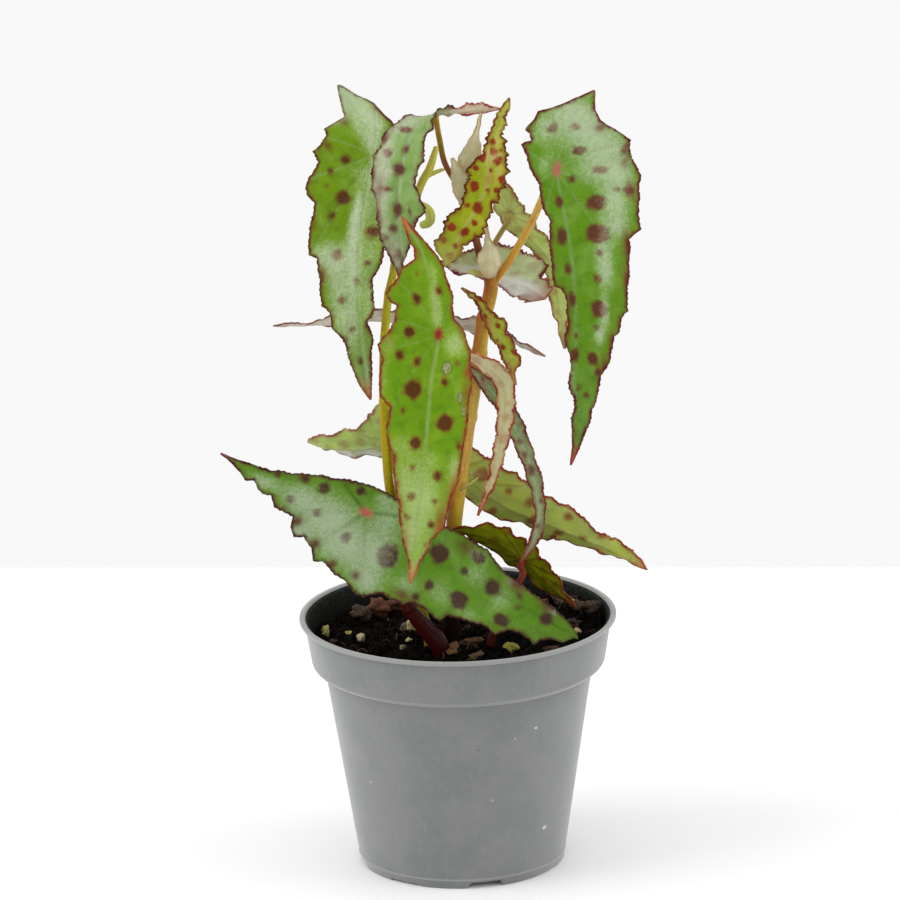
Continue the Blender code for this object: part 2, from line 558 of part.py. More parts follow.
def make_stem(name):
    """A cane or stalk with its shoots and its leaves' stalks grown onto it."""
    stem = STEMS[name]
    points, faces = tube(stem["points"], sides=8, per_span=3)
    main = add_object(name, mesh_from(name, points, faces), stem["colour"])
    grown = []
    for shoot in stem["shoots"]:
        points, faces = tube(shoot, sides=6, per_span=2)
        grown.append(add_object("shoot", mesh_from("shoot", points, faces)))
    for leaf, (carrier, _, _) in STALKS.items():
        if carrier == name:
            points, faces = tube(stalk_points(leaf), sides=6, per_span=2)
            grown.append(add_object("stalk", mesh_from("stalk", points, faces)))
    join_solids(main, grown)
    main.data.shade_smooth()
    return main


def turned(name, profile, sides, colour):
    """A closed solid turned round Z from (radius, height) points that end on the axis."""
    points, faces = [], []
    for radius, height in profile:
        if radius == 0:
            points.append((0, 0, height))
            continue
        for n in range(sides):
            angle = 2 * math.pi * n / sides
            points.append((radius * math.cos(angle), radius * math.sin(angle), height))
    starts, at = [], 0
    for radius, _ in profile:
        starts.append(at)
        at += 1 if radius == 0 else sides
    for (r0, _), (r1, _), s0, s1 in zip(profile, profile[1:], starts, starts[1:]):
        for n in range(sides):
            m = (n + 1) % sides
            if r0 == 0:
                faces.append((s0, s1 + n, s1 + m))
            elif r1 == 0:
                faces.append((s0 + n, s1, s0 + m))
            else:
                faces.append((s0 + n, s1 + n, s1 + m, s0 + m))
    return add_object(name, mesh_from(name, points, faces), colour)


def body_radius(height):
    """The outer radius of the pot's tapered body at a height."""
    top = POT_HEIGHT - BAND_DEPTH - SHOULDER_DROP
    return BASE_RADIUS + (SHOULDER_RADIUS - BASE_RADIUS) * height / top


def pot_outside():
    """The pot's outer profile from the foot up to the lip."""
    band_low = POT_HEIGHT - BAND_DEPTH
    shoulder = band_low - SHOULDER_DROP
    profile = [(BASE_RADIUS, 0), (SHOULDER_RADIUS, shoulder)]
    for turn in (30, 60, 90):
        share = math.radians(turn)
        profile.append((SHOULDER_RADIUS + (BAND_LOW_RADIUS - SHOULDER_RADIUS) * math.sin(share),
                        shoulder + SHOULDER_DROP * (1 - math.cos(share))))
    lip_low = POT_HEIGHT - LIP_HEIGHT
    profile += [(BAND_TOP_RADIUS, lip_low), (RIM_RADIUS - LIP_ROUND, lip_low),
                (RIM_RADIUS, lip_low + LIP_ROUND), (RIM_RADIUS, POT_HEIGHT - LIP_ROUND),
                (RIM_RADIUS - LIP_ROUND, POT_HEIGHT)]
    return profile


def pot_inside():
    """The pot's inner profile from the lip down to the floor plate's edge."""
    band_low = POT_HEIGHT - BAND_DEPTH
    shoulder = band_low - SHOULDER_DROP
    profile = [(RIM_RADIUS - LIP_WIDTH, POT_HEIGHT),
               (BAND_TOP_RADIUS - POT_WALL, POT_HEIGHT - LIP_HEIGHT)]
    for turn in (90, 60, 30):
        share = math.radians(turn)
        profile.append((SHOULDER_RADIUS - POT_WALL + (BAND_LOW_RADIUS - SHOULDER_RADIUS) * math.sin(share),
                        shoulder + SHOULDER_DROP * (1 - math.cos(share)) + POT_WALL / 2))
    profile += [(SHOULDER_RADIUS - POT_WALL, shoulder),
                (body_radius(BASE_LIFT) - POT_WALL, BASE_LIFT + POT_WALL)]
    return profile


def make_pot():
    """The turned pot, with notches cut in its foot ring and drain holes through its floor."""
    underside = [(0, 0), (PAD_RADIUS, 0), (PAD_RADIUS + 1, BASE_LIFT),
                 (BASE_RADIUS - FOOT_WIDTH, BASE_LIFT), (BASE_RADIUS - FOOT_WIDTH, 0)]
    pot = turned("pot", underside + pot_outside() + pot_inside() + [(0, BASE_LIFT + POT_WALL)],
                 POT_SIDES, "pot")
    cutters = []
    for degrees in NOTCH_ANGLES:
        cutters.append(box_cutter(math.radians(degrees)))
    for n in range(DRAIN_COUNT):
        cutters.append(round_cutter(DRAIN_RING, 2 * math.pi * n / DRAIN_COUNT, DRAIN_RADIUS,
                                    -CUT_PAST, BASE_LIFT + POT_WALL + CUT_PAST))
    cut_away(pot, cutters)
    return pot


def box_cutter(angle):
    """A box across the foot ring."""
    work = bmesh.new()
    bmesh.ops.create_cube(work, size=1)
    for corner in work.verts:
        corner.co = Vector((BASE_RADIUS - FOOT_WIDTH / 2 + corner.co.x * 2 * FOOT_WIDTH,
                            corner.co.y * NOTCH_WIDTH, corner.co.z * 2 * NOTCH_DEPTH)) * MM
    return cutter_object(work, angle)


def round_cutter(distance, angle, radius, low, high):
    """An upright round cutter at a distance from the axis."""
    work = bmesh.new()
    bmesh.ops.create_cone(work, cap_ends=True, segments=CUTTER_SIDES, radius1=radius * MM,
                          radius2=radius * MM, depth=(high - low) * MM)
    bmesh.ops.translate(work, verts=work.verts, vec=Vector((distance, 0, (low + high) / 2)) * MM)
    return cutter_object(work, angle)


def cutter_object(work, angle):
    """A cutter from a bmesh, turned round the pot's axis."""
    mesh = bpy.data.meshes.new("cutter")
    work.to_mesh(mesh)
    work.free()
    cutter = bpy.data.objects.new("cutter", mesh)
    cutter.rotation_euler.z = angle
    cutter.hide_render = True
    cutter.display_type = "WIRE"
    bpy.context.collection.objects.link(cutter)
    return cutter


def cut_away(thing, cutters):
    """Cut each cutter out of an object and drop it."""
    for cutter in cutters:
        cut = thing.modifiers.new("cut", "BOOLEAN")
        cut.operation = "DIFFERENCE"
        cut.object = cutter
        cut.solver = "MANIFOLD"
    apply_modifiers(thing)
    for cutter in cutters:
        bpy.data.objects.remove(cutter, do_unlink=True)
    thing.data.shade_smooth()
    thing.data.set_sharp_from_angle(angle=SMOOTH_ANGLE)


def soil_height(x, y):
    """The lumpy surface of the peat."""
    lumps = math.sin(0.31 * x + 0.5) * math.cos(0.27 * y - 0.4)
    lumps += 0.6 * math.sin(0.63 * x - 0.44 * y + 1.9) + 0.35 * math.cos(0.9 * y + 0.7 * x)
    aside = (math.degrees(math.atan2(y, x)) - HEAP_ANGLE) / HEAP_SPREAD
    heap = HEAP_RISE * math.exp(-aside ** 2) * (math.hypot(x, y) / SHOULDER_RADIUS) ** 4
    return SOIL_TOP + SOIL_LUMP * lumps + heap


def soil_radius(height):
    """The soil's radius at a height, a small gap inside the pot's wall."""
    inner = sorted((z, r) for r, z in pot_inside())
    for (z0, r0), (z1, r1) in zip(inner, inner[1:]):
        if z0 <= height <= z1:
            return r0 + (r1 - r0) * (height - z0) / (z1 - z0) - SOIL_ROOM
    return inner[0][1] - SOIL_ROOM


def make_soil():
    """The peat, with a lumpy top, a level foot and a plain hole for each stem."""
    bottom = BASE_LIFT + POT_WALL + GAP
    walls = [(soil_radius(bottom), bottom)]
    walls += [(radius - SOIL_ROOM, height) for radius, height in reversed(pot_inside()[2:6])]
    walls.append((soil_radius(SOIL_TOP - SOIL_EDGE), SOIL_TOP - SOIL_EDGE))
    points = [(0, 0, bottom)]
    for radius, height in walls:
        for n in range(POT_SIDES):
            angle = 2 * math.pi * n / POT_SIDES
            points.append((radius * math.cos(angle), radius * math.sin(angle), height))
    top_radius = soil_radius(SOIL_TOP) - GAP
    for k in range(SOIL_RINGS):
        radius = top_radius * (SOIL_RINGS - k) / SOIL_RINGS
        for n in range(POT_SIDES):
            angle = 2 * math.pi * n / POT_SIDES
            x, y = radius * math.cos(angle), radius * math.sin(angle)
            points.append((x, y, soil_height(x, y)))
    points.append((0, 0, soil_height(0, 0)))
    rings = len(walls) + SOIL_RINGS
    faces = []
    for n in range(POT_SIDES):
        m = (n + 1) % POT_SIDES
        faces.append((0, 1 + n, 1 + m))
        for k in range(rings - 1):
            a = 1 + k * POT_SIDES
            b = a + POT_SIDES
            faces.append((a + n, a + m, b + m))
            faces.append((a + n, b + m, b + n))
        a = 1 + (rings - 1) * POT_SIDES
        faces.append((a + n, a + m, len(points) - 1))
    soil = add_object("soil", mesh_from("soil", points, faces), "soil")
    cutters = []
    for stem in STEMS.values():
        x, y, foot, radius = stem["points"][0]
        cutters.append(round_cutter(math.hypot(x, y), math.atan2(y, x), (radius + GAP) * HOLE_EASE,
                                    foot - GAP, POT_HEIGHT + CUT_PAST))
    cut_away(soil, cutters)
    return soil


def main():
    """Build the whole plant."""
    clear_scene()
    make_pot()
    make_soil()
    for name in STEMS:
        make_stem(name)
    for seed, name in enumerate(LEAVES):
        make_leaf(name, seed)
    for name in STIPULES:
        make_stipule(name)


main()
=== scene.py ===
# %% [markdown]
# # Potted begonia
# A young begonia with long, hanging, spotted leaves stands in a grey plastic nursery pot of peat.
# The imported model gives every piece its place: the pot, the peat, two canes with their stalks,
# fifteen leaves and three stipules. This lesson dresses them one after another. Sizes are written in
# millimetres, because the whole plant is only 30 cm tall, and each mesh is scaled to metres at the end.

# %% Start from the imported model
import math
import random
from types import SimpleNamespace

import bmesh
import bpy
import numpy as np
from mathutils import Matrix, Vector, noise


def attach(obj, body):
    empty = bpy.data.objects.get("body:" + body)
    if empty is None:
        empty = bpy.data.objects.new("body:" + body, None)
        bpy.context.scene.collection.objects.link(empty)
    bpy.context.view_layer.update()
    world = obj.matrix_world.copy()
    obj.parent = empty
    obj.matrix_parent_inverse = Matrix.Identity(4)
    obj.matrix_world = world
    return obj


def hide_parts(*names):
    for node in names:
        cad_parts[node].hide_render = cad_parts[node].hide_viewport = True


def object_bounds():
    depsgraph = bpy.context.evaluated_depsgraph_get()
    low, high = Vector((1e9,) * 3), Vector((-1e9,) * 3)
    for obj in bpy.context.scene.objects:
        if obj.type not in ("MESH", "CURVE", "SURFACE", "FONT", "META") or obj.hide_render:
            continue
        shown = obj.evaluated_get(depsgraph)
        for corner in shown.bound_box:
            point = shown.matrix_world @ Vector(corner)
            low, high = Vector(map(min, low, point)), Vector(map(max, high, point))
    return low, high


MM = 0.001
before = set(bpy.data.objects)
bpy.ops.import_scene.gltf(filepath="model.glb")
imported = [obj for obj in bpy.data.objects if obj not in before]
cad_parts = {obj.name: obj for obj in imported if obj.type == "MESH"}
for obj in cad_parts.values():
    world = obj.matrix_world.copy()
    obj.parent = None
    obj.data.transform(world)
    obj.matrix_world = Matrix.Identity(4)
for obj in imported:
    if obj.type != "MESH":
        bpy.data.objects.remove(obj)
cad_low, cad_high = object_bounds()
cad_size = [round((high - low) / MM, 1) for low, high in zip(cad_low, cad_high)]
print("nodes", len(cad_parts), "size in mm", cad_size)


# %% [markdown]
# ## Camera
# The photographer stood about three metres away with a long lens, looking down at 18 degrees. The
# view is solved once for the middle of the pot's rim. The frame's middle lies above the rim, so the
# camera is turned towards it instead of shifting the lens.

# %% Camera
CAMERA_DISTANCE = 3000.0               # mm from the middle of the rim
CAMERA_RISE = math.radians(17.93)
CAMERA_ROLL = math.radians(-1.163)
AIM_HEIGHT = 96.0                      # the point on the pot's axis that the view is solved for
IMAGE_SIZE = 900
PIXELS_PER_MM = 2.642                  # at the rim
RIM_PIXEL = (457.76, 615.08)           # where the middle of the rim lies in the image
SENSOR = 36.0                          # width in mm
CLIP_RANGE = (0.1, 20.0)               # m

ahead = Vector((0, math.cos(CAMERA_RISE), -math.sin(CAMERA_RISE)))
level = Vector((1, 0, 0))
steep = Vector((0, math.sin(CAMERA_RISE), math.cos(CAMERA_RISE)))
image_right = level * math.cos(CAMERA_ROLL) + steep * math.sin(CAMERA_ROLL)
image_up = steep * math.cos(CAMERA_ROLL) - level * math.sin(CAMERA_ROLL)
focal_pixels = PIXELS_PER_MM * CAMERA_DISTANCE
middle = IMAGE_SIZE / 2
aim = (ahead * focal_pixels + image_right * (middle - RIM_PIXEL[0])
       - image_up * (middle - RIM_PIXEL[1])).normalized()
image_right = (image_right - aim * image_right.dot(aim)).normalized()
image_up = image_right.cross(aim).normalized()

camera_data = bpy.data.cameras.new("camera")
camera_data.sensor_width = SENSOR
camera_data.lens = focal_pixels / IMAGE_SIZE * SENSOR
camera_data.clip_start, camera_data.clip_end = CLIP_RANGE
camera = bpy.data.objects.new("camera", camera_data)
turn = Matrix((image_right, image_up, -aim)).transposed()
stand = Vector((0, 0, AIM_HEIGHT)) - ahead * CAMERA_DISTANCE
camera.matrix_world = Matrix.Translation(stand * MM) @ turn.to_4x4()
bpy.context.collection.objects.link(camera)
bpy.context.scene.camera = camera
print("lens in mm", round(camera_data.lens, 1))


# %% [markdown]
# ## Colours and material nodes
# Colours are easiest to think of as the 0 to 255 numbers of a paint program, but Blender's shaders
# want linear light, so `paint` converts them. Materials are built from nodes in the script. The small
# class below gives each kind of node a short call, so that a finish reads like a recipe.

# %% Node helpers
LIGHT_GAIN = 1.2      # the bright room and the lamps show a surface this much lighter than its paint


def paint(red, green, blue):
    """The linear paint for a surface that shows as these 0 to 255 screen values."""
    values = [v / 255 for v in (red, green, blue)]
    linear = (v / 12.92 if v <= 0.04045 else ((v + 0.055) / 1.055) ** 2.4 for v in values)
    return tuple(v / LIGHT_GAIN for v in linear) + (1.0,)


class Recipe:
    """One material and short calls for its nodes."""

    def __init__(self, name, roughness):
        self.material = bpy.data.materials.new(name)
        self.material.use_nodes = True
        self.tree = self.material.node_tree
        self.shader = self.tree.nodes["Principled BSDF"]
        self.output = self.tree.nodes["Material Output"]
        self.shader.inputs["Roughness"].default_value = roughness

    def node(self, kind, **settings):
        made = self.tree.nodes.new(kind)
        for key, value in settings.items():
            setattr(made, key, value)
        return made

    def feed(self, socket, value):
        if isinstance(value, bpy.types.NodeSocket):
            self.tree.links.new(value, socket)
        else:
            socket.default_value = value

    def maths(self, operation, *values):
        made = self.node("ShaderNodeMath", operation=operation)
        for socket, value in zip(made.inputs, values):
            self.feed(socket, value)
        return made.outputs[0]

    def times(self, first, second):
        return self.maths("MULTIPLY", first, second)

    def apart(self, first, second):
        return self.maths("ABSOLUTE", self.maths("SUBTRACT", first, second))

    def fray(self, value, grain, depth):
        """A value with centred noise added, so that its steps get a ragged edge."""
        return self.maths("ADD", value, self.times(self.maths("SUBTRACT", grain, 0.5), depth))

    def vector(self, operation, *values):
        made = self.node("ShaderNodeVectorMath", operation=operation)
        for socket, value in zip(made.inputs, values):
            self.feed(socket, value)
        return made.outputs["Value" if operation == "LENGTH" else "Vector"]

    def away_from(self, where, middle, halves):
        """0 in the middle of a blob, 1 on its edge."""
        away = self.vector("SUBTRACT", where, middle)
        return self.vector("LENGTH", self.vector("MULTIPLY", away, tuple(1 / half for half in halves)))

    def step(self, value, low, high, bottom=0.0, top=1.0):
        """A soft step from bottom to top while the value goes from low to high."""
        made = self.node("ShaderNodeMapRange", interpolation_type="SMOOTHSTEP")
        for socket, number in zip(made.inputs, (value, low, high, bottom, top)):
            self.feed(socket, number)
        return made.outputs[0]

    def mix(self, share, first, second, blend="MIX"):
        made = self.node("ShaderNodeMix", data_type="RGBA", blend_type=blend)
        self.feed(made.inputs[0], share)
        self.feed(made.inputs[6], first)
        self.feed(made.inputs[7], second)
        return made.outputs[2]

    def dyed(self, colour, dye):
        """A colour multiplied by red, green and blue shares."""
        return self.mix(1.0, colour, (*dye, 1.0), "MULTIPLY")

    def noise(self, where, scale, detail, roughness=0.5):
        made = self.node("ShaderNodeTexNoise")
        self.feed(made.inputs["Vector"], where)
        made.inputs["Scale"].default_value = scale
        made.inputs["Detail"].default_value = detail
        made.inputs["Roughness"].default_value = roughness
        return made.outputs[0]

    def cells(self, where, scale, feature="F1"):
        made = self.node("ShaderNodeTexVoronoi", feature=feature)
        self.feed(made.inputs["Vector"], where)
        made.inputs["Scale"].default_value = scale
        return made.outputs["Distance"]

    def attribute(self, name, output="Vector"):
        made = self.node("ShaderNodeAttribute", attribute_name=name)
        return made.outputs[output]

    def split(self, vector):
        made = self.node("ShaderNodeSeparateXYZ")
        self.feed(made.inputs[0], vector)
        return made.outputs

    def join(self, x, y, z):
        made = self.node("ShaderNodeCombineXYZ")
        for socket, value in zip(made.inputs, (x, y, z)):
            self.feed(socket, value)
        return made.outputs[0]

    def here(self):
        """Object coordinates in mm."""
        place = self.node("ShaderNodeTexCoord").outputs["Object"]
        return self.vector("MULTIPLY", place, (1 / MM, 1 / MM, 1 / MM))

    def bump(self, height, distance_mm):
        made = self.node("ShaderNodeBump")
        self.feed(made.inputs["Height"], height)
        made.inputs["Distance"].default_value = distance_mm * MM
        made.inputs["Strength"].default_value = 1.0
        self.feed(self.shader.inputs["Normal"], made.outputs[0])

    def see_through(self, colour, share):
        """Let part of the light shine through a thin blade."""
        glow = self.node("ShaderNodeBsdfTranslucent")
        self.feed(glow.inputs["Color"], colour)
        both = self.node("ShaderNodeMixShader")
        for socket, value in zip(both.inputs, (share, self.shader.outputs[0], glow.outputs[0])):
            self.feed(socket, value)
        self.feed(self.output.inputs[0], both.outputs[0])


print("helpers ready; mid grey is", round(paint(128, 128, 128)[0], 3))


# %% [markdown]
# ## Studio
# The photo is a bright product shot: a white table, a wall that is a touch darker, and soft light
# from all sides with a little more from the upper left. A square floor ends where the table meets
# the wall, and the world's plain colour stands for the wall. Two large area lamps give the leaves
# and the pot their broad, soft highlights.

# %% Studio
TABLE_EDGE = 362.0          # how far behind the pot the table ends
TABLE_LEAN = 0.0667         # the edge runs level in the image although the camera is rolled
TABLE_SIZE = 700.0
WALL_LIGHT = 0.945
LAMP_AIM = Vector((0, 0, 0.15))        # m
LAMPS = {                   # place in m, size in m, power in W
    "key light": ((-2.3, -0.6, 1.8), 2.0, 36.0),
    "fill light": ((2.3, -0.4, 1.3), 2.0, 20.0),
}


def soft_lamp(name, place, size, power):
    """A square area lamp that faces the plant."""
    data = bpy.data.lights.new(name, "AREA")
    data.shape = "SQUARE"
    data.size = size
    data.energy = power
    lamp = bpy.data.objects.new(name, data)
    lamp.location = place
    lamp.rotation_euler = (LAMP_AIM - Vector(place)).to_track_quat("-Z", "Y").to_euler()
    bpy.context.collection.objects.link(lamp)


for lamp_name, (place, size, power) in LAMPS.items():
    soft_lamp(lamp_name, place, size, power)

world = bpy.data.worlds.new("white room")
world.use_nodes = True
world.node_tree.nodes["Background"].inputs["Color"].default_value = (1.0, 1.0, 1.0, 1.0)
world.node_tree.nodes["Background"].inputs["Strength"].default_value = WALL_LIGHT
bpy.context.scene.world = world
bpy.context.scene.view_settings.view_transform = "Standard"

floor_mesh = bpy.data.meshes.new("floor")
lean = TABLE_LEAN * TABLE_SIZE
floor_corners = [(-TABLE_SIZE, -TABLE_SIZE, 0), (TABLE_SIZE, -TABLE_SIZE, 0),
                 (TABLE_SIZE, TABLE_EDGE - lean, 0), (-TABLE_SIZE, TABLE_EDGE + lean, 0)]
floor_mesh.from_pydata([Vector(c) * MM for c in floor_corners], [], [(0, 1, 2, 3)])
floor = bpy.data.objects.new("floor", floor_mesh)
bpy.context.collection.objects.link(floor)
table_paint = Recipe("white table", 0.6)
table_paint.feed(table_paint.shader.inputs["Base Color"], table_paint.mix(
    table_paint.noise(table_paint.here(), 0.004, 2), (0.92, 0.92, 0.92, 1), (0.95, 0.95, 0.95, 1)))
floor_mesh.materials.append(table_paint.material)
print("lamps", len(LAMPS), "floor edge behind the pot", TABLE_EDGE, "mm")


# %% [markdown]
# ## One mesh from many strips
# Leaves, stalks and stipules are all grids of points. NumPy works out thousands of points at once,
# and `mesh_piece` turns the arrays into one object, with the extra numbers that the materials read
# stored as point attributes. Every finished piece rides on the body "root", because nothing moves.

# %% Mesh helper
pieces_made = []


def mesh_piece(name, points, faces, materials, slots=None, vectors=None, colours=None):
    """An object in metres from points in mm, quads and triangles, with its attributes."""
    mesh = bpy.data.meshes.new(name)
    mesh.from_pydata(np.asarray(points) * MM, [], [tuple(face) for face in faces])
    for finish in materials:
        mesh.materials.append(finish)
    if slots is not None:
        mesh.polygons.foreach_set("material_index", np.asarray(slots, np.int32))
    for key, values in (vectors or {}).items():
        data = mesh.attributes.new(key, "FLOAT_VECTOR", "POINT").data
        data.foreach_set("vector", np.asarray(values, np.float32).ravel())
    for key, values in (colours or {}).items():
        data = mesh.attributes.new(key, "FLOAT_COLOR", "POINT").data
        data.foreach_set("color", np.asarray(values, np.float32).ravel())
    mesh.shade_smooth()
    mesh.update()
    thing = bpy.data.objects.new(name, mesh)
    bpy.context.collection.objects.link(thing)
    return thing


def finish_piece(thing, slot, *nodes):
    """Let a piece ride on the plant and stand for its CAD nodes."""
    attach(thing, "root")
    if nodes:
        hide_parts(*nodes)
    thing.data.calc_loop_triangles()
    pieces_made.append((thing.name, len(thing.data.loop_triangles)))
    return thing


print("body for every piece: root")


# %% [markdown]
# ## The leaves' shape
# Each leaf is a long blade with two pointed ends, the heel and the toe, and its stalk meets the
# underside in between, at the hub. A leaf could be sculpted or drawn with curves. Here a table gives
# stations along its middle line: a place and a width to each side. A smooth curve through them makes
# a blade that bends freely, and every leaf can be changed with a few numbers.

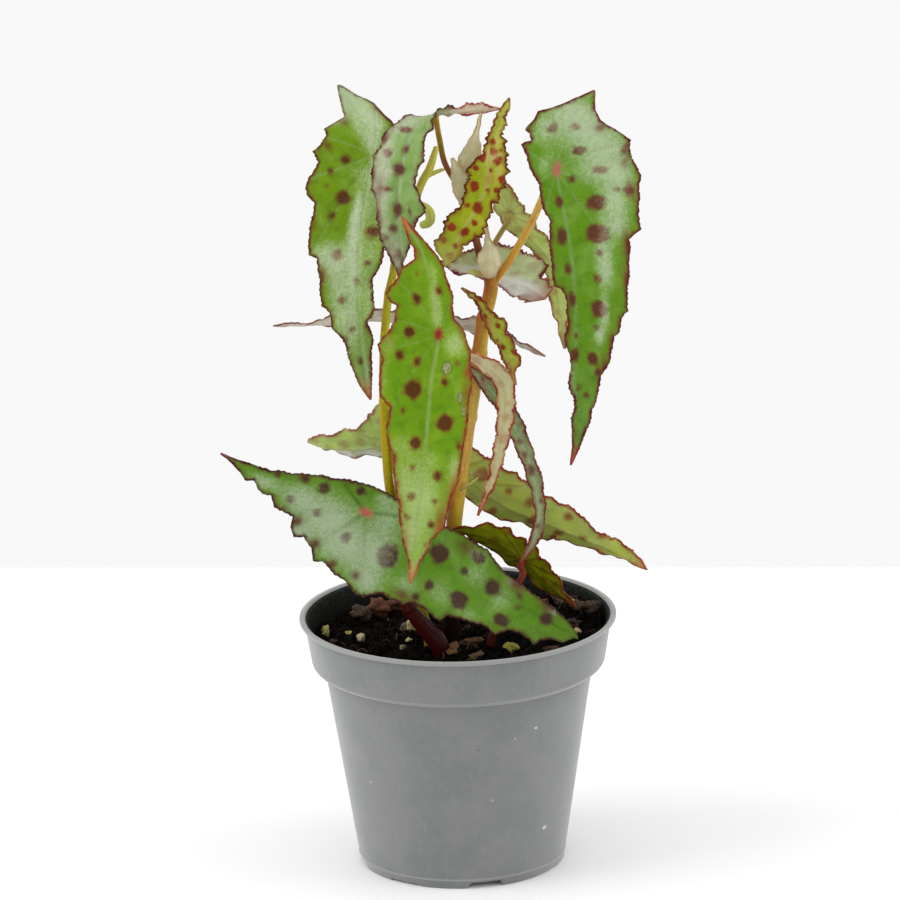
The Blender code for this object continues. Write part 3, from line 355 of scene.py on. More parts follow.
# %% Leaf table
# stations: x, y, z and the reach to the left and right in mm; faces: where the upper face looks;
# hub: the stalk's station and its offset; lift: degrees by which both halves rise from the rib;
# wave and waves: height and number of ripples; teeth and tooth: number and depth of regular teeth
LEAVES = {
    "leaf_top_left": dict(
        stations=[(-40.5, 4, 302.5, 0.6, 0.6), (-37.5, 1, 296, 2.5, 9), (-34.5, -2, 288, 10, 15),
                  (-34, -5, 278, 15.5, 16), (-36, -9, 262, 17, 15), (-37.5, -12, 242, 15, 13),
                  (-37, -13, 224, 11, 8), (-35, -12, 206.5, 6, 4.5), (-31, -8, 184, 0.5, 0.5)],
        faces=[(-0.2, -0.8, 0.5), (-0.1, -1, 0.3), (-0.1, -1, 0), (0, -1, -0.2)],
        hub=(3, -6), lift=10, wave=1.3, waves=5),
    "leaf_arched": dict(
        stations=[(20, 12, 290, 0.5, 0.6), (14, 8, 291, 2, 3), (6.5, 3, 292, 3, 3.8),
                  (0.5, -2, 292.5, 4.5, 4.5), (-5, -7, 293.5, 7, 5.5), (-11.5, -14, 291, 9, 6.5),
                  (-16, -21, 281.5, 10, 6.5), (-18.5, -25, 266.5, 9, 8), (-18.5, -26, 250.5, 7.5, 7),
                  (-18, -25, 232, 0.5, 0.5)],
        faces=[(0.1, 1, 0.3), (0.1, 0.9, 0.5), (-0.3, -0.3, 1), (-0.3, -0.9, 0.3), (-0.1, -1, 0),
               (0, -1, -0.1)],
        hub=(4, 0), lift=10, wave=0.9, waves=5),
    "leaf_young": dict(
        stations=[(23, -9, 299.5, 0.6, 0.6), (18, -11, 288.5, 2.6, 2.6), (15.5, -13, 279, 4, 5.5),
                  (15, -14, 270, 8, 6), (11.5, -16, 262.5, 7, 6.5), (5, -19, 252, 7.5, 7),
                  (-2.5, -21, 239, 2, 2.5)],
        faces=[(0, -1, 0.2), (0.1, -1, 0.1)],
        hub=(3, 0), lift=10, wave=0.7, waves=6),
    "leaf_right": dict(
        stations=[(54.5, -6, 301, 0.6, 0.6), (51, -9, 294.5, 6.5, 4.5), (48.5, -12, 287, 16, 17),
                  (47.5, -14, 277.5, 18, 20.5), (48, -16, 268.5, 15.5, 22.5), (49.5, -19, 255.5, 14, 21),
                  (50.5, -21, 242, 13.5, 17), (50.5, -21, 226, 10.5, 14.5), (49.5, -20, 210, 8, 11),
                  (48, -18, 193.5, 5.5, 7.5), (46, -15, 177, 3.5, 5), (43.5, -10, 157.5, 0.4, 0.4)],
        faces=[(0.1, -0.8, 0.5), (0, -1, 0.3), (0, -1, 0), (0, -1, -0.2)],
        hub=(3.5, 8), lift=9, wave=1.2, waves=5),
    "leaf_front": dict(
        stations=[(-17.5, -34, 261.5, 0.6, 0.6), (-11, -37, 250, 4.5, 4.5), (-6.5, -40, 235, 13, 7),
                  (-5, -42, 218.5, 19, 10), (-8, -46, 202, 19.5, 15), (-10, -48, 183.5, 15, 15.5),
                  (-12.5, -48, 160.5, 9.5, 12), (-15.5, -46, 138.5, 4.5, 5.5),
                  (-17.5, -42, 122.5, 0.4, 0.4)],
        faces=[(0, -1, 0.3), (0, -1, 0.2), (0, -1, 0), (0, -1, -0.2)],
        hub=(3, 0), lift=10, wave=1.2, waves=6),
    "leaf_low_left": dict(
        stations=[(-87.5, -14, 166, 0.5, 0.5), (-61.5, -20, 154.5, 8, 4), (-39.5, -24, 142, 20, 14),
                  (-17, -27, 129, 19, 14), (3, -30, 117.5, 16, 10), (23.5, -31, 107, 11.5, 7),
                  (38.5, -30, 98.5, 6, 3.5), (45, -29, 95, 0.8, 0.8)],
        faces=[(-0.1, -0.8, 0.6), (0, -0.8, 0.6), (0.1, -0.8, 0.6)],
        hub=(2.15, -5.5), lift=8, wave=1.3, waves=5),
    "leaf_low_right": dict(
        stations=[(-10, 17, 158, 0.6, 0.6), (0, 13, 150, 10.5, 10.5), (17, 12, 136, 13, 13),
                  (39.5, 15, 124.5, 8.5, 8.5), (58.5, 18, 115, 5, 5), (72.5, 22, 105.5, 0.4, 0.4)],
        faces=[(0, 0.8, 0.6), (0, 0.8, 0.6)],
        hub=(1, 0), lift=14, wave=0.9, waves=5),
    "leaf_mid_left": dict(
        stations=[(-5.5, 8, 167.5, 1, 1), (-18.5, 10, 163.5, 11.5, 16), (-28, 12, 159.5, 10.5, 16),
                  (-41.5, 15, 158, 6, 8), (-51, 20, 158, 3, 5), (-55, 28, 157, 0.5, 0.5)],
        faces=[(0, 0.8, 0.6), (0, 0.8, 0.6)],
        hub=(1, 0), lift=12, wave=0.7, waves=4),
    "leaf_top_back": dict(
        stations=[(18.5, 4, 264.5, 1.5, 1.5), (20.5, 8, 258, 4.5, 5), (22.7, 9, 250.5, 5.5, 5.5),
                  (28.2, 12, 242, 5.5, 5), (37, 20, 229, 5, 3.5), (40.5, 27, 210.5, 4.5, 3.5),
                  (42.5, 28, 192, 0.5, 0.5)],
        faces=[(0.2, 0.9, 0.3), (0.3, 0.9, 0)],
        hub=(2, 0), lift=12, wave=0.7, waves=4, teeth=9, tooth=1.2),
    "leaf_mid_right": dict(
        stations=[(-7.5, 6, 234.5, 0.6, 0.6), (1.5, 9, 229, 8, 4), (14.5, 12, 225.5, 13, 7),
                  (25, 16, 221.5, 11, 10), (31.5, 19.5, 217.5, 9, 11), (35.5, 23, 213, 3, 4)],
        faces=[(0, 0.85, 0.5), (0, 0.85, 0.5)],
        hub=(2, 0), lift=12, wave=0.8, waves=4),
    "leaf_small_upright": dict(
        stations=[(3.8, -18, 229.5, 0.4, 0.4), (9.8, -19, 223.5, 2.4, 2.4), (13.5, -20, 216.5, 3.2, 3.6),
                  (17.3, -20, 210, 4.2, 4.2), (20.2, -19.5, 202.5, 3.2, 3.2), (23.5, -18, 191.5, 0.6, 0.6)],
        faces=[(0, -1, 0.3), (0, -1, 0)],
        hub=(2, 0), lift=10, wave=0.5, waves=4, teeth=7, tooth=0.9),
    "leaf_pale_drooping": dict(
        stations=[(3.5, -14, 203.5, 1, 1), (12, -14, 198, 4, 3), (18.5, -13, 191.5, 4, 3.5),
                  (19.3, -13, 180.5, 3.6, 3.2), (17.6, -13, 169, 2.8, 2.4), (14, -13, 155, 2.2, 1.6),
                  (8.3, -12, 139, 0.4, 0.4)],
        faces=[(0.1, 0.9, 0.3), (0.1, 1, 0)],
        hub=(0, 0), lift=10, wave=0.6, waves=4, teeth=9, tooth=0.9),
    "leaf_curved_drooping": dict(
        stations=[(5.5, -8, 196.5, 0.5, 0.5), (12, -6.5, 189, 3, 3), (18.5, -5, 180.5, 4, 3.6),
                  (25, -6, 167, 4, 3), (30, -9, 151.5, 3, 2.6), (31.5, -11, 138.5, 2.4, 2.4),
                  (29.1, -12, 129, 2, 2), (24, -12, 120, 0.4, 0.4)],
        faces=[(0.3, -0.9, 0.3), (0.3, -0.9, 0)],
        hub=(1, 0), lift=20, wave=0.5, waves=4, teeth=9, tooth=0.7),
    "leaf_level_back": dict(
        stations=[(-67, 6, 209.5, 0.4, 0.4), (-48.5, 10, 208.5, 5, 4), (-29, 12, 209, 9, 7),
                  (-8, 13, 206.5, 10, 8), (12.5, 14, 203, 7, 6), (35, 18, 192, 0.4, 0.4)],
        faces=[(0, 0.55, 0.85), (0.1, 0.55, 0.85)],
        hub=(3, 0), lift=16, wave=1, waves=4, teeth=9, tooth=1.4),
    "leaf_low_dark": dict(
        stations=[(-1.5, -12, 133.5, 1.5, 1.5), (12, -8, 129, 8, 7), (25, -5, 119, 8, 8),
                  (34.5, -6, 109.5, 6, 6), (44.5, -10, 101.5, 0.5, 0.5)],
        faces=[(0.2, 0.75, 0.6), (0.2, 0.75, 0.6)],
        hub=(2, 0), lift=10, wave=0.6, waves=4, teeth=8, tooth=1.3),
}

# left and right margin of a leaf: share of the length, distance from the rib in mm
MARGINS = {
    "leaf_top_left": (
        [(.03, 1.3), (.062, 2), (.098, 2.6), (.103, 6.6), (.107, 9), (.112, 11.4), (.147, 11.1),
         (.188, 13.3), (.215, 16), (.258, 14.2), (.288, 15.5), (.312, 17.3), (.335, 17.9), (.357, 16.6),
         (.375, 13.8), (.408, 14), (.443, 15.1), (.475, 15.3), (.505, 15.5), (.527, 14.9), (.537, 12.2),
         (.568, 11.8), (.593, 10.9), (.628, 11.6), (.677, 11.3), (.688, 9.6), (.71, 8.7), (.748, 8.7),
         (.765, 6.8), (.782, 5.2), (.805, 4.6), (.87, 4.4), (.94, 3.1)],
        [(.01, 1.5), (.05, 4.8), (.088, 9), (.12, 11.4), (.147, 14.9), (.208, 15.1), (.315, 15.5),
         (.425, 14.4), (.497, 13.5), (.542, 12.7), (.575, 10.7), (.603, 8.3), (.642, 8.5), (.693, 8.5),
         (.72, 7), (.735, 4.8), (.763, 5.5), (.802, 6.1), (.84, 4.4), (.905, 3.1), (.965, 1.3)]),
    "leaf_young": (
        [(.058, 1.4), (.1, 1.5), (.135, 1.9), (.175, 1.8), (.212, 1.8), (.242, 2.6), (.26, 1.9),
         (.288, 2.8), (.323, 2.5), (.34, 4), (.355, 5.7), (.383, 6.6), (.395, 8.8), (.46, 7.9), (.522, 7.7),
         (.555, 8.5), (.583, 6.6), (.635, 6.4), (.672, 5.5), (.715, 6.9), (.748, 7.5), (.785, 8), (.825, 7),
         (.868, 6.9), (.907, 7.8), (.945, 5.6), (.96, 3.3), (.975, 1.2)],
        [(.05, 1.8), (.103, 1.4), (.13, 2.7), (.18, 2.6), (.215, 2.8), (.233, 4.9), (.275, 5), (.31, 6.4),
         (.352, 6.1), (.4, 6.6), (.422, 6.8), (.45, 5.4), (.482, 6.7), (.5, 4.8), (.53, 5.9), (.56, 6),
         (.575, 4), (.605, 5.7), (.638, 6.1), (.657, 5.4), (.688, 7), (.725, 6.9), (.763, 6.8), (.775, 5.4),
         (.8, 5.3), (.833, 4), (.86, 3.1), (.893, 3.7), (.935, 2.8), (.955, 1.5), (.988, 1.8)]),
    "leaf_front": (
        [(.02, 1.3), (.05, 2.3), (.065, 2.5), (.088, 2.1), (.115, 3.6), (.12, 6.8), (.124, 9.5), (.138, 11),
         (.152, 12.9), (.163, 15.7), (.182, 17.8), (.208, 16.9), (.225, 14.6), (.245, 15.7), (.268, 16.1),
         (.307, 18.6), (.348, 21), (.378, 22), (.395, 21), (.41, 19.5), (.432, 19.7), (.453, 19.5),
         (.487, 18.6), (.512, 14.6), (.54, 14.8), (.57, 15.5), (.605, 14.4), (.63, 12.7), (.642, 11.6),
         (.667, 11.9), (.713, 10.2), (.745, 9.3), (.78, 7.6), (.812, 7.2), (.84, 5.7), (.87, 5.1),
         (.902, 3.4), (.932, 1.7), (.973, 1.1)],
        [(.033, 1.3), (.06, 1.9), (.09, 3), (.12, 4.7), (.145, 5.7), (.175, 5.7), (.203, 6.1), (.225, 6.8),
         (.25, 5.9), (.285, 5.9), (.295, 7.8), (.312, 9.7), (.333, 10.8), (.348, 12.5), (.375, 13.1),
         (.408, 14.6), (.44, 15.2), (.478, 14.8), (.525, 15), (.557, 14.8), (.598, 14), (.657, 13.8),
         (.693, 13.6), (.718, 12.1), (.745, 11), (.782, 10.6), (.825, 10.4), (.85, 7.8), (.863, 6.1),
         (.893, 5.1), (.925, 3.2), (.97, 1.9)]),
    "leaf_low_left": (
        [(.022, .9), (.048, 2.6), (.072, 4.2), (.083, 5.5), (.105, 3.9), (.118, 6.1), (.14, 7.7), (.16, 7),
         (.18, 10.7), (.198, 11), (.235, 10.5), (.242, 14.7), (.263, 17.5), (.283, 14.9), (.292, 15.6),
         (.312, 17.3), (.333, 21.7), (.35, 20.2), (.37, 21), (.39, 23), (.42, 22.8), (.44, 24.3),
         (.46, 25.4), (.48, 24.3), (.495, 21.9), (.515, 19.7), (.545, 19.7), (.575, 20), (.59, 17.3),
         (.605, 17.5), (.625, 16.7), (.657, 18), (.67, 17.8), (.677, 14.5), (.71, 13.2), (.743, 12.3),
         (.77, 12.1), (.797, 14), (.815, 11.4), (.83, 9.2), (.86, 8.3), (.885, 8.8), (.9, 10.1), (.912, 7),
         (.932, 4.8), (.963, 4.2), (.978, 1.8), (.988, .3)],
        [(.03, .3), (.06, .7), (.103, 1.3), (.133, 1.8), (.145, 3.3), (.177, 4.6), (.205, 6.6), (.24, 9),
         (.27, 10.1), (.312, 12.7), (.35, 14.9), (.393, 16.2), (.425, 15.8), (.5, 15.6), (.573, 16),
         (.613, 16.7), (.652, 16), (.7, 15.1), (.758, 11.2), (.797, 10.5), (.828, 9.2), (.865, 7.5),
         (.91, 6.6), (.95, 5), (.985, 2.6)]),
    "leaf_arched": (
        [(.06, 1.5), (.11, 2.2), (.17, 2.4), (.22, 3.2), (.28, 3.4), (.34, 4.8), (.4, 7.5), (.44, 9.5),
         (.473, 10.8), (.51, 11), (.54, 11.6), (.578, 11), (.615, 10.7), (.645, 10.3), (.675, 8.9),
         (.718, 8.4), (.765, 8), (.812, 7.4), (.878, 4.6), (.94, 1.9)],
        [(.05, 1.6), (.1, 2.6), (.16, 3), (.21, 3.8), (.27, 3.8), (.33, 4.8), (.37, 6.2), (.4, 8.5),
         (.432, 6.9), (.473, 7.1), (.512, 9.1), (.535, 9.5), (.552, 6.2), (.578, 5.9), (.62, 6.1),
         (.66, 8.4), (.693, 10.6), (.72, 10.1), (.74, 7.7), (.768, 6.1), (.843, 3.7), (.905, .7)]),
    "leaf_right": (
        [(.03, 3.8), (.055, 7.6), (.072, 11.1), (.083, 13.9), (.09, 16.8), (.103, 17.2), (.115, 19.1),
         (.125, 20.1), (.13, 18.2), (.143, 17.5), (.147, 21), (.158, 20.5), (.17, 19.1), (.185, 18.6),
         (.2, 17.5), (.217, 16), (.233, 14.9), (.25, 14.9), (.29, 14.6), (.323, 12.5), (.36, 13.2),
         (.388, 13.7), (.432, 13.2), (.473, 13.2), (.5, 12.3), (.51, 9.7), (.525, 8.5), (.545, 7.6),
         (.568, 7.8), (.593, 6.8), (.613, 7.1), (.635, 8), (.662, 7.1), (.688, 5.2), (.723, 4.2), (.75, 5),
         (.777, 4.5), (.8, 2.1), (.83, 1.4), (.86, 2.1), (.9, 1.2), (.945, .3), (.99, .3)],
        [(.025, 2.1), (.045, 3.5), (.068, 6.8), (.075, 9.2), (.083, 13), (.095, 16.5), (.11, 19.4),
         (.14, 19.4), (.175, 20.5), (.21, 21.9), (.24, 23.4), (.273, 21.9), (.295, 21.9), (.315, 21),
         (.338, 20.5), (.37, 21), (.38, 18.2), (.39, 16.3), (.41, 16.5), (.443, 15.6), (.473, 15.8),
         (.497, 14.9), (.56, 15.1), (.578, 13.2), (.615, 12.7), (.63, 10.9), (.66, 10.1), (.69, 9.9),
         (.71, 8.7), (.735, 7.1), (.775, 6.8), (.812, 6.4), (.833, 5.2), (.86, 5.2), (.905, 3.5),
         (.95, 2.4), (.988, .9)]),
    "leaf_low_right": (
        [(.04, 4.5), (.09, 9.5), (.133, 12.4), (.188, 12.2), (.228, 13.4), (.28, 14.3), (.323, 15.9),
         (.385, 13.9), (.497, 13.1), (.547, 12), (.61, 10.3), (.662, 9.9), (.708, 7.4), (.76, 5.2),
         (.823, 5.2), (.893, 4.9), (.95, 3), (.99, .6)],
        [(.04, 3.5), (.1, 7), (.16, 8), (.225, 8.3), (.297, 12), (.355, 9.3), (.405, 10.2), (.425, 7.1),
         (.48, 7.2), (.522, 8), (.583, 12.1), (.61, 11.4), (.614, 6.1), (.625, 7.5), (.66, 7.8),
         (.723, 7.6), (.755, 5.8), (.772, 3.6), (.82, 4.2), (.88, 3), (.94, 1.6)]),
    "leaf_mid_right": (
        [(.05, 1), (.122, 1.9), (.208, 8), (.432, 15.1), (.525, 14.3), (.63, 14.8), (.768, 12.4),
         (.81, 11.8), (.815, 6.3), (.87, 7.5), (.91, 4.6), (.94, 6.2), (.97, 3)],
        [(.05, .8), (.155, .7), (.285, 1.3), (.453, 2.4), (.603, 5.5), (.715, 7.7), (.922, 9.5),
         (.945, 6.5), (.965, 8.5), (.985, 4)]),
    "leaf_small_upright": (
        [(.05, .4), (.15, .3), (.245, .6), (.322, 1.8), (.36, 1.2), (.42, 1.5), (.51, 2.6), (.56, 2.2),
         (.61, 1.3), (.68, 1.8), (.738, 1.9), (.8, 1.5), (.85, 1.1), (.93, .6)],
        [(.05, .8), (.12, 1.8), (.2, 2.5), (.286, 2.5), (.31, 3.2), (.34, 4.2), (.39, 4.6), (.432, 6.3),
         (.486, 5.7), (.54, 3.5), (.58, 4.4), (.615, 5), (.697, 4.2), (.73, 4.4), (.767, 5.1), (.818, 4.3),
         (.84, 2.6), (.87, 1.4), (.918, .5)]),
    "leaf_mid_left": (
        [(.05, 4), (.12, 9), (.2, 11.5), (.28, 12), (.33, 9.5), (.4, 10.5), (.47, 8.5), (.55, 6.5),
         (.63, 6.8), (.7, 4.5), (.8, 3.2), (.9, 2)],
        [(.03, 4), (.1, 11), (.17, 15.5), (.215, 17.6), (.24, 19.4), (.273, 19.1), (.315, 17), (.453, 14.9),
         (.542, 11.1), (.652, 8.7), (.76, 7.6), (.925, 2.6)]),
}

print("leaves", len(LEAVES), "with a drawn margin", len(MARGINS))


# %% [markdown]
# ## Curves through the stations
# `curve_at` is a Catmull-Rom curve: it passes through every row of numbers and is smooth in between.
# The margins of the leaves that face the photographer are drawn point by point, as distances from the
# rib at shares of the length. Others get regular teeth that point away from the hub. Small irregular
# teeth are added to all of them.

# %% Blade maths
def unit(vectors):
    """Vectors of length one."""
    return vectors / np.maximum(np.linalg.norm(vectors, axis=-1, keepdims=True), 1e-12)


def curve_at(rows, place):
    """Values on a smooth curve through the rows, at places counted in rows."""
    last = len(rows) - 1
    place = np.clip(place, 0, last)
    i = np.minimum(place.astype(int), last - 1)
    u = (place - i)[:, None]
    before, here, there, after = (rows[np.clip(i + k, 0, last)] for k in (-1, 0, 1, 2))
    return 0.5 * (2 * here + (there - before) * u + (2 * before - 5 * here + 4 * there - after) * u ** 2
                  + (3 * here - before - 3 * there + after) * u ** 3)


class Blade:
    """The middle line of a leaf with its width and the way its upper face looks."""

    def __init__(self, stations, faces):
        self.rows = np.array(stations, float)
        self.faces = unit(np.array(faces, float))
        self.places = np.linspace(0, len(stations) - 1, 161)
        points = curve_at(self.rows, self.places)[:, :3]
        steps = np.linalg.norm(np.diff(points, axis=0), axis=1)
        self.lengths = np.concatenate([[0.0], np.cumsum(steps)])
        self.total = self.lengths[-1]

    def share_of(self, station):
        """The share of the whole length at which a station lies."""
        return self.lengths[self.places <= station + 1e-9].max() / self.total

    def frame(self, share):
        """Middle points, directions along, left and up, and the widths on both sides."""
        place = np.interp(share * self.total, self.lengths, self.places)
        row = curve_at(self.rows, place)
        along = unit(curve_at(self.rows, place + 0.02)[:, :3] - curve_at(self.rows, place - 0.02)[:, :3])
        face = curve_at(self.faces, share * (len(self.faces) - 1))
        left = unit(np.cross(along, face))
        up = unit(np.cross(left, along))
        return row[:, :3], along, left, up, row[:, 3], row[:, 4]


FRINGE = 0.3           # depth of the small teeth in mm
FRINGES = {"leaf_young": 0.75, "leaf_arched": 0.45, "leaf_small_upright": 0.6, "leaf_mid_right": 0.7}
NOTCH_SHARE = 0.3      # teeth point away from the hub, so a notch lies close behind each point


def margin_knots(name, leaf, side, seed):
    """Shares of the length and the margin's reach there; extra reach where no outline was drawn."""
    if name in MARGINS:
        return [(0.0, 0.3)] + MARGINS[name][0 if side > 0 else 1] + [(1.0, 0.3)]
    draw = random.Random(2 * seed + (side > 0))
    knots = [(0.0, 0.0)]
    for k in range(leaf["teeth"]):
        tip = (k + 0.5 + draw.uniform(-0.2, 0.2)) / leaf["teeth"]
        deep = leaf["tooth"] * draw.uniform(0.6, 1.2)
        knots += [(tip, 0.55 * deep), (tip + NOTCH_SHARE / leaf["teeth"], -0.45 * deep)]
    return [knot for knot in knots if knot[0] < 0.99] + [(1.0, 0.0)]


def small_teeth(total, side, seed, depth):
    """Shares and reaches of small irregular teeth all along a margin."""
    draw = random.Random(7 * seed + side)
    place, places, reaches = 1.0, [0.0], [0.0]
    while place < total - 3:
        step = draw.uniform(1.3, 3.0)
        places += [place / total, (place + 0.6 * step) / total]
        reaches += [-depth * draw.uniform(0.2, 0.9), depth * draw.uniform(0.3, 1.4)]
        place += step
    return places + [1.0], reaches + [0.0]


def row_shares(knots_of_sides, total, spacing):
    """Shares for the rows: even steps, and a row on each knot of the margins."""
    shares = list(np.linspace(0, 1, int(total / spacing) + 2))
    for knots in knots_of_sides:
        shares += [share for share, _ in knots[1:-1]]
    kept = [0.0]
    for share in sorted(shares):
        if share - kept[-1] > 0.25 / total:
            kept.append(share)
    kept[-1] = 1.0
    return np.array(kept)


def smooth_share(values, reach=9):
    """Values with their bumps averaged away."""
    weights = np.hanning(2 * reach + 3)[1:-1]
    padded = np.pad(values, reach, mode="edge")
    return np.convolve(padded, weights / weights.sum(), "valid")


print("a curve through", len(LEAVES["leaf_front"]["stations"]), "stations for the front leaf")


# %% [markdown]
# ## Marks on the leaves
# The upper faces carry round red-brown spots, silvery zones of painted sheen over the skin's real bloom,
# red flushes near some notches and a few scars. All are lists of (along from the hub, to the left,
# half-length, half-width) in mm, and a zone or flush also has its strength from 0 to 1. A leaf without
# a list of spots gets them by a seeded rule that keeps them apart.

# %% Marks
SPOTS = {
    "leaf_top_left": [
        (2, 10, 2, 1.8), (16.5, 8.5, 2.6, 3), (7, 15, 1.4, 1.2), (23, 11.5, 1.4, 1.4), (28, -4.5, 1.8, 2.4),
        (37.5, 8, 1.8, 2.2), (40, -3.5, 1.2, 1.2), (54, 6.5, 1.6, 1.4), (66, 3, 1.2, 1.2),
        (79.5, 1.5, 1.2, 1), (12.5, 15.5, 0.8, 1), (47.5, 0.5, 1.2, 1), (8, -9, 2.2, 2),
        (20, -9.5, 1.6, 1.6)],
    "leaf_arched": [
        (13, 3, 1.5, 3), (18, 10, 1.8, 1.6), (20.5, 0, 1.8, 1.6), (28.5, 1, 2.6, 2.4), (23, 7, 1.6, 2),
        (36, 5, 1.4, 2), (43, 0.5, 3, 1.9), (50, 2.5, 1.6, 1.5), (43.5, -4.5, 2, 0.8), (60, 1, 2, 1.4),
        (53, 5.5, 1.2, 1), (4.5, 4.5, 1.6, 2), (66, 1, 1, 0.8), (-9, 1.5, 1.2, 1.2)],
    "leaf_young": [
        (-14, 0, 1.2, 1.2), (-10.5, -1, 1.4, 1.4), (-7, -3, 1.6, 1.6), (-8, 3, 1.4, 1.6),
        (-3.5, 0, 0.8, 0.8), (-0.5, -4.5, 1, 1), (5, 4.5, 2, 1.6), (4.5, -1, 1, 1), (3, -4, 1, 1.2),
        (11.5, -0.5, 2, 2), (17, -2.5, 1, 1), (22.5, 4.5, 1.4, 1.8), (21.5, -1, 1.6, 1.6),
        (28.5, 5, 1.2, 1.2), (28, 0, 1, 1), (32, 0, 1.6, 1.4), (-4.5, 5.5, 1, 1), (12.5, 3.5, 1, 1),
        (-18.5, 2.5, 0.6, 0.6), (-11.5, -3.5, 0.8, 0.6)],
    "leaf_right": [
        (-6.5, -7, 1.6, 2.6), (1.5, -16, 1.6, 3), (-13, 5.5, 1.4, 1.8), (-15, -2.5, 1.2, 1.8),
        (11.5, 1, 2.2, 1.6), (13.5, -12.5, 2.8, 3.4), (4, -5, 1.2, 1.6), (24.5, 2.5, 3.4, 1.8),
        (25, -11, 3.6, 4.4), (32, -11, 1.2, 1.4), (37.5, 2, 2, 1.2), (41, -9, 1.6, 1.6),
        (10, -21.5, 1.2, 1.4), (49.5, 1, 2.8, 1.4), (53, -9, 3.4, 3), (72, 0, 2.8, 1.6),
        (72.5, -6.5, 2.8, 2), (77.5, -8.5, 2, 1.4), (64, 0, 1, 0.8), (60.5, -8, 1.2, 1), (85, -1.5, 1, 0.8),
        (87.5, -4.5, 1, 0.8), (-8, -23.5, 2.6, 1.4), (11, -25, 1.8, 1.8)],
    "leaf_front": [
        (-15, 7, 2.4, 1.6), (-16, -2, 1.8, 1.4), (-1, 11, 3.2, 2.2), (10.5, 13.5, 1.8, 1.8),
        (11.5, 6.5, 1.8, 1.6), (21, 6.5, 3.6, 3.4), (17, -5, 2, 1.4), (9, -8.5, 1, 1.2),
        (32.5, -6.5, 3.4, 3.2), (41, 4, 2.8, 2.4), (53, -5.5, 2, 1.8), (50.5, 4.5, 1.2, 1.2),
        (62, 3.5, 1.8, 1.6), (62.5, -5.5, 1, 1), (70, 4.5, 1.2, 1.2), (72, -5, 1.6, 1.2),
        (40.5, -12.5, 1.6, 1.2), (29, 10, 1, 0.8), (-24.5, 4.5, 1, 0.6), (22.5, 10, 0.6, 0.8),
        (80.5, -4, 0.8, 0.6)],
    "leaf_low_left": [
        (-18, -1.5, 2, 2.2), (-25.5, -2, 1.4, 1.6), (-35.5, 0.5, 1.2, 1.2), (-15.5, 8.5, 1.6, 1.6),
        (-27, 8, 1.4, 1.6), (-5.5, -6.5, 2, 1.8), (-2, 12.5, 1.8, 2.2), (15, 10, 4, 5), (31.5, -2, 3.6, 4),
        (34, 11.5, 1.8, 2.2), (43, -1.5, 1.4, 1.4), (55.5, -1.5, 3.2, 3.2), (46, 9.5, 3.4, 3.8),
        (63, 9, 3, 3), (79, -1, 2.8, 2.6), (67, 1, 1.2, 1.2), (32, 18.5, 1.8, 1.8), (45.5, -8.5, 2.8, 2.2),
        (66, -3.5, 1.2, 1.2)],
    "leaf_low_right": [
        (9, 5.5, 2.8, 3), (21.5, 7, 1.6, 1.6), (31.5, 6.5, 2.2, 2.4), (36.5, -1.5, 2.2, 3.8),
        (47.5, 6.5, 2, 1.8), (48, -2.5, 1.8, 2.6), (57, 0, 1.4, 1.4), (35, -13, 1.6, 3.2), (22, -7, 1.6, 3),
        (63, 4, 1.4, 1.4), (27, -12.5, 1.2, 1.6)],
    "leaf_small_upright": [
        (-9, -1.6, 0.9, 0.8), (-2.5, 0.2, 1.3, 0.8), (-5, -2.4, 0.7, 0.6), (3, -2.4, 1.4, 0.9),
        (11, -0.4, 1.2, 1.2), (6.5, -4.6, 0.7, 0.7), (14.5, -3.2, 1.2, 0.9), (-1, -4, 0.5, 0.5),
        (7.5, 0.8, 0.5, 0.5)],
}
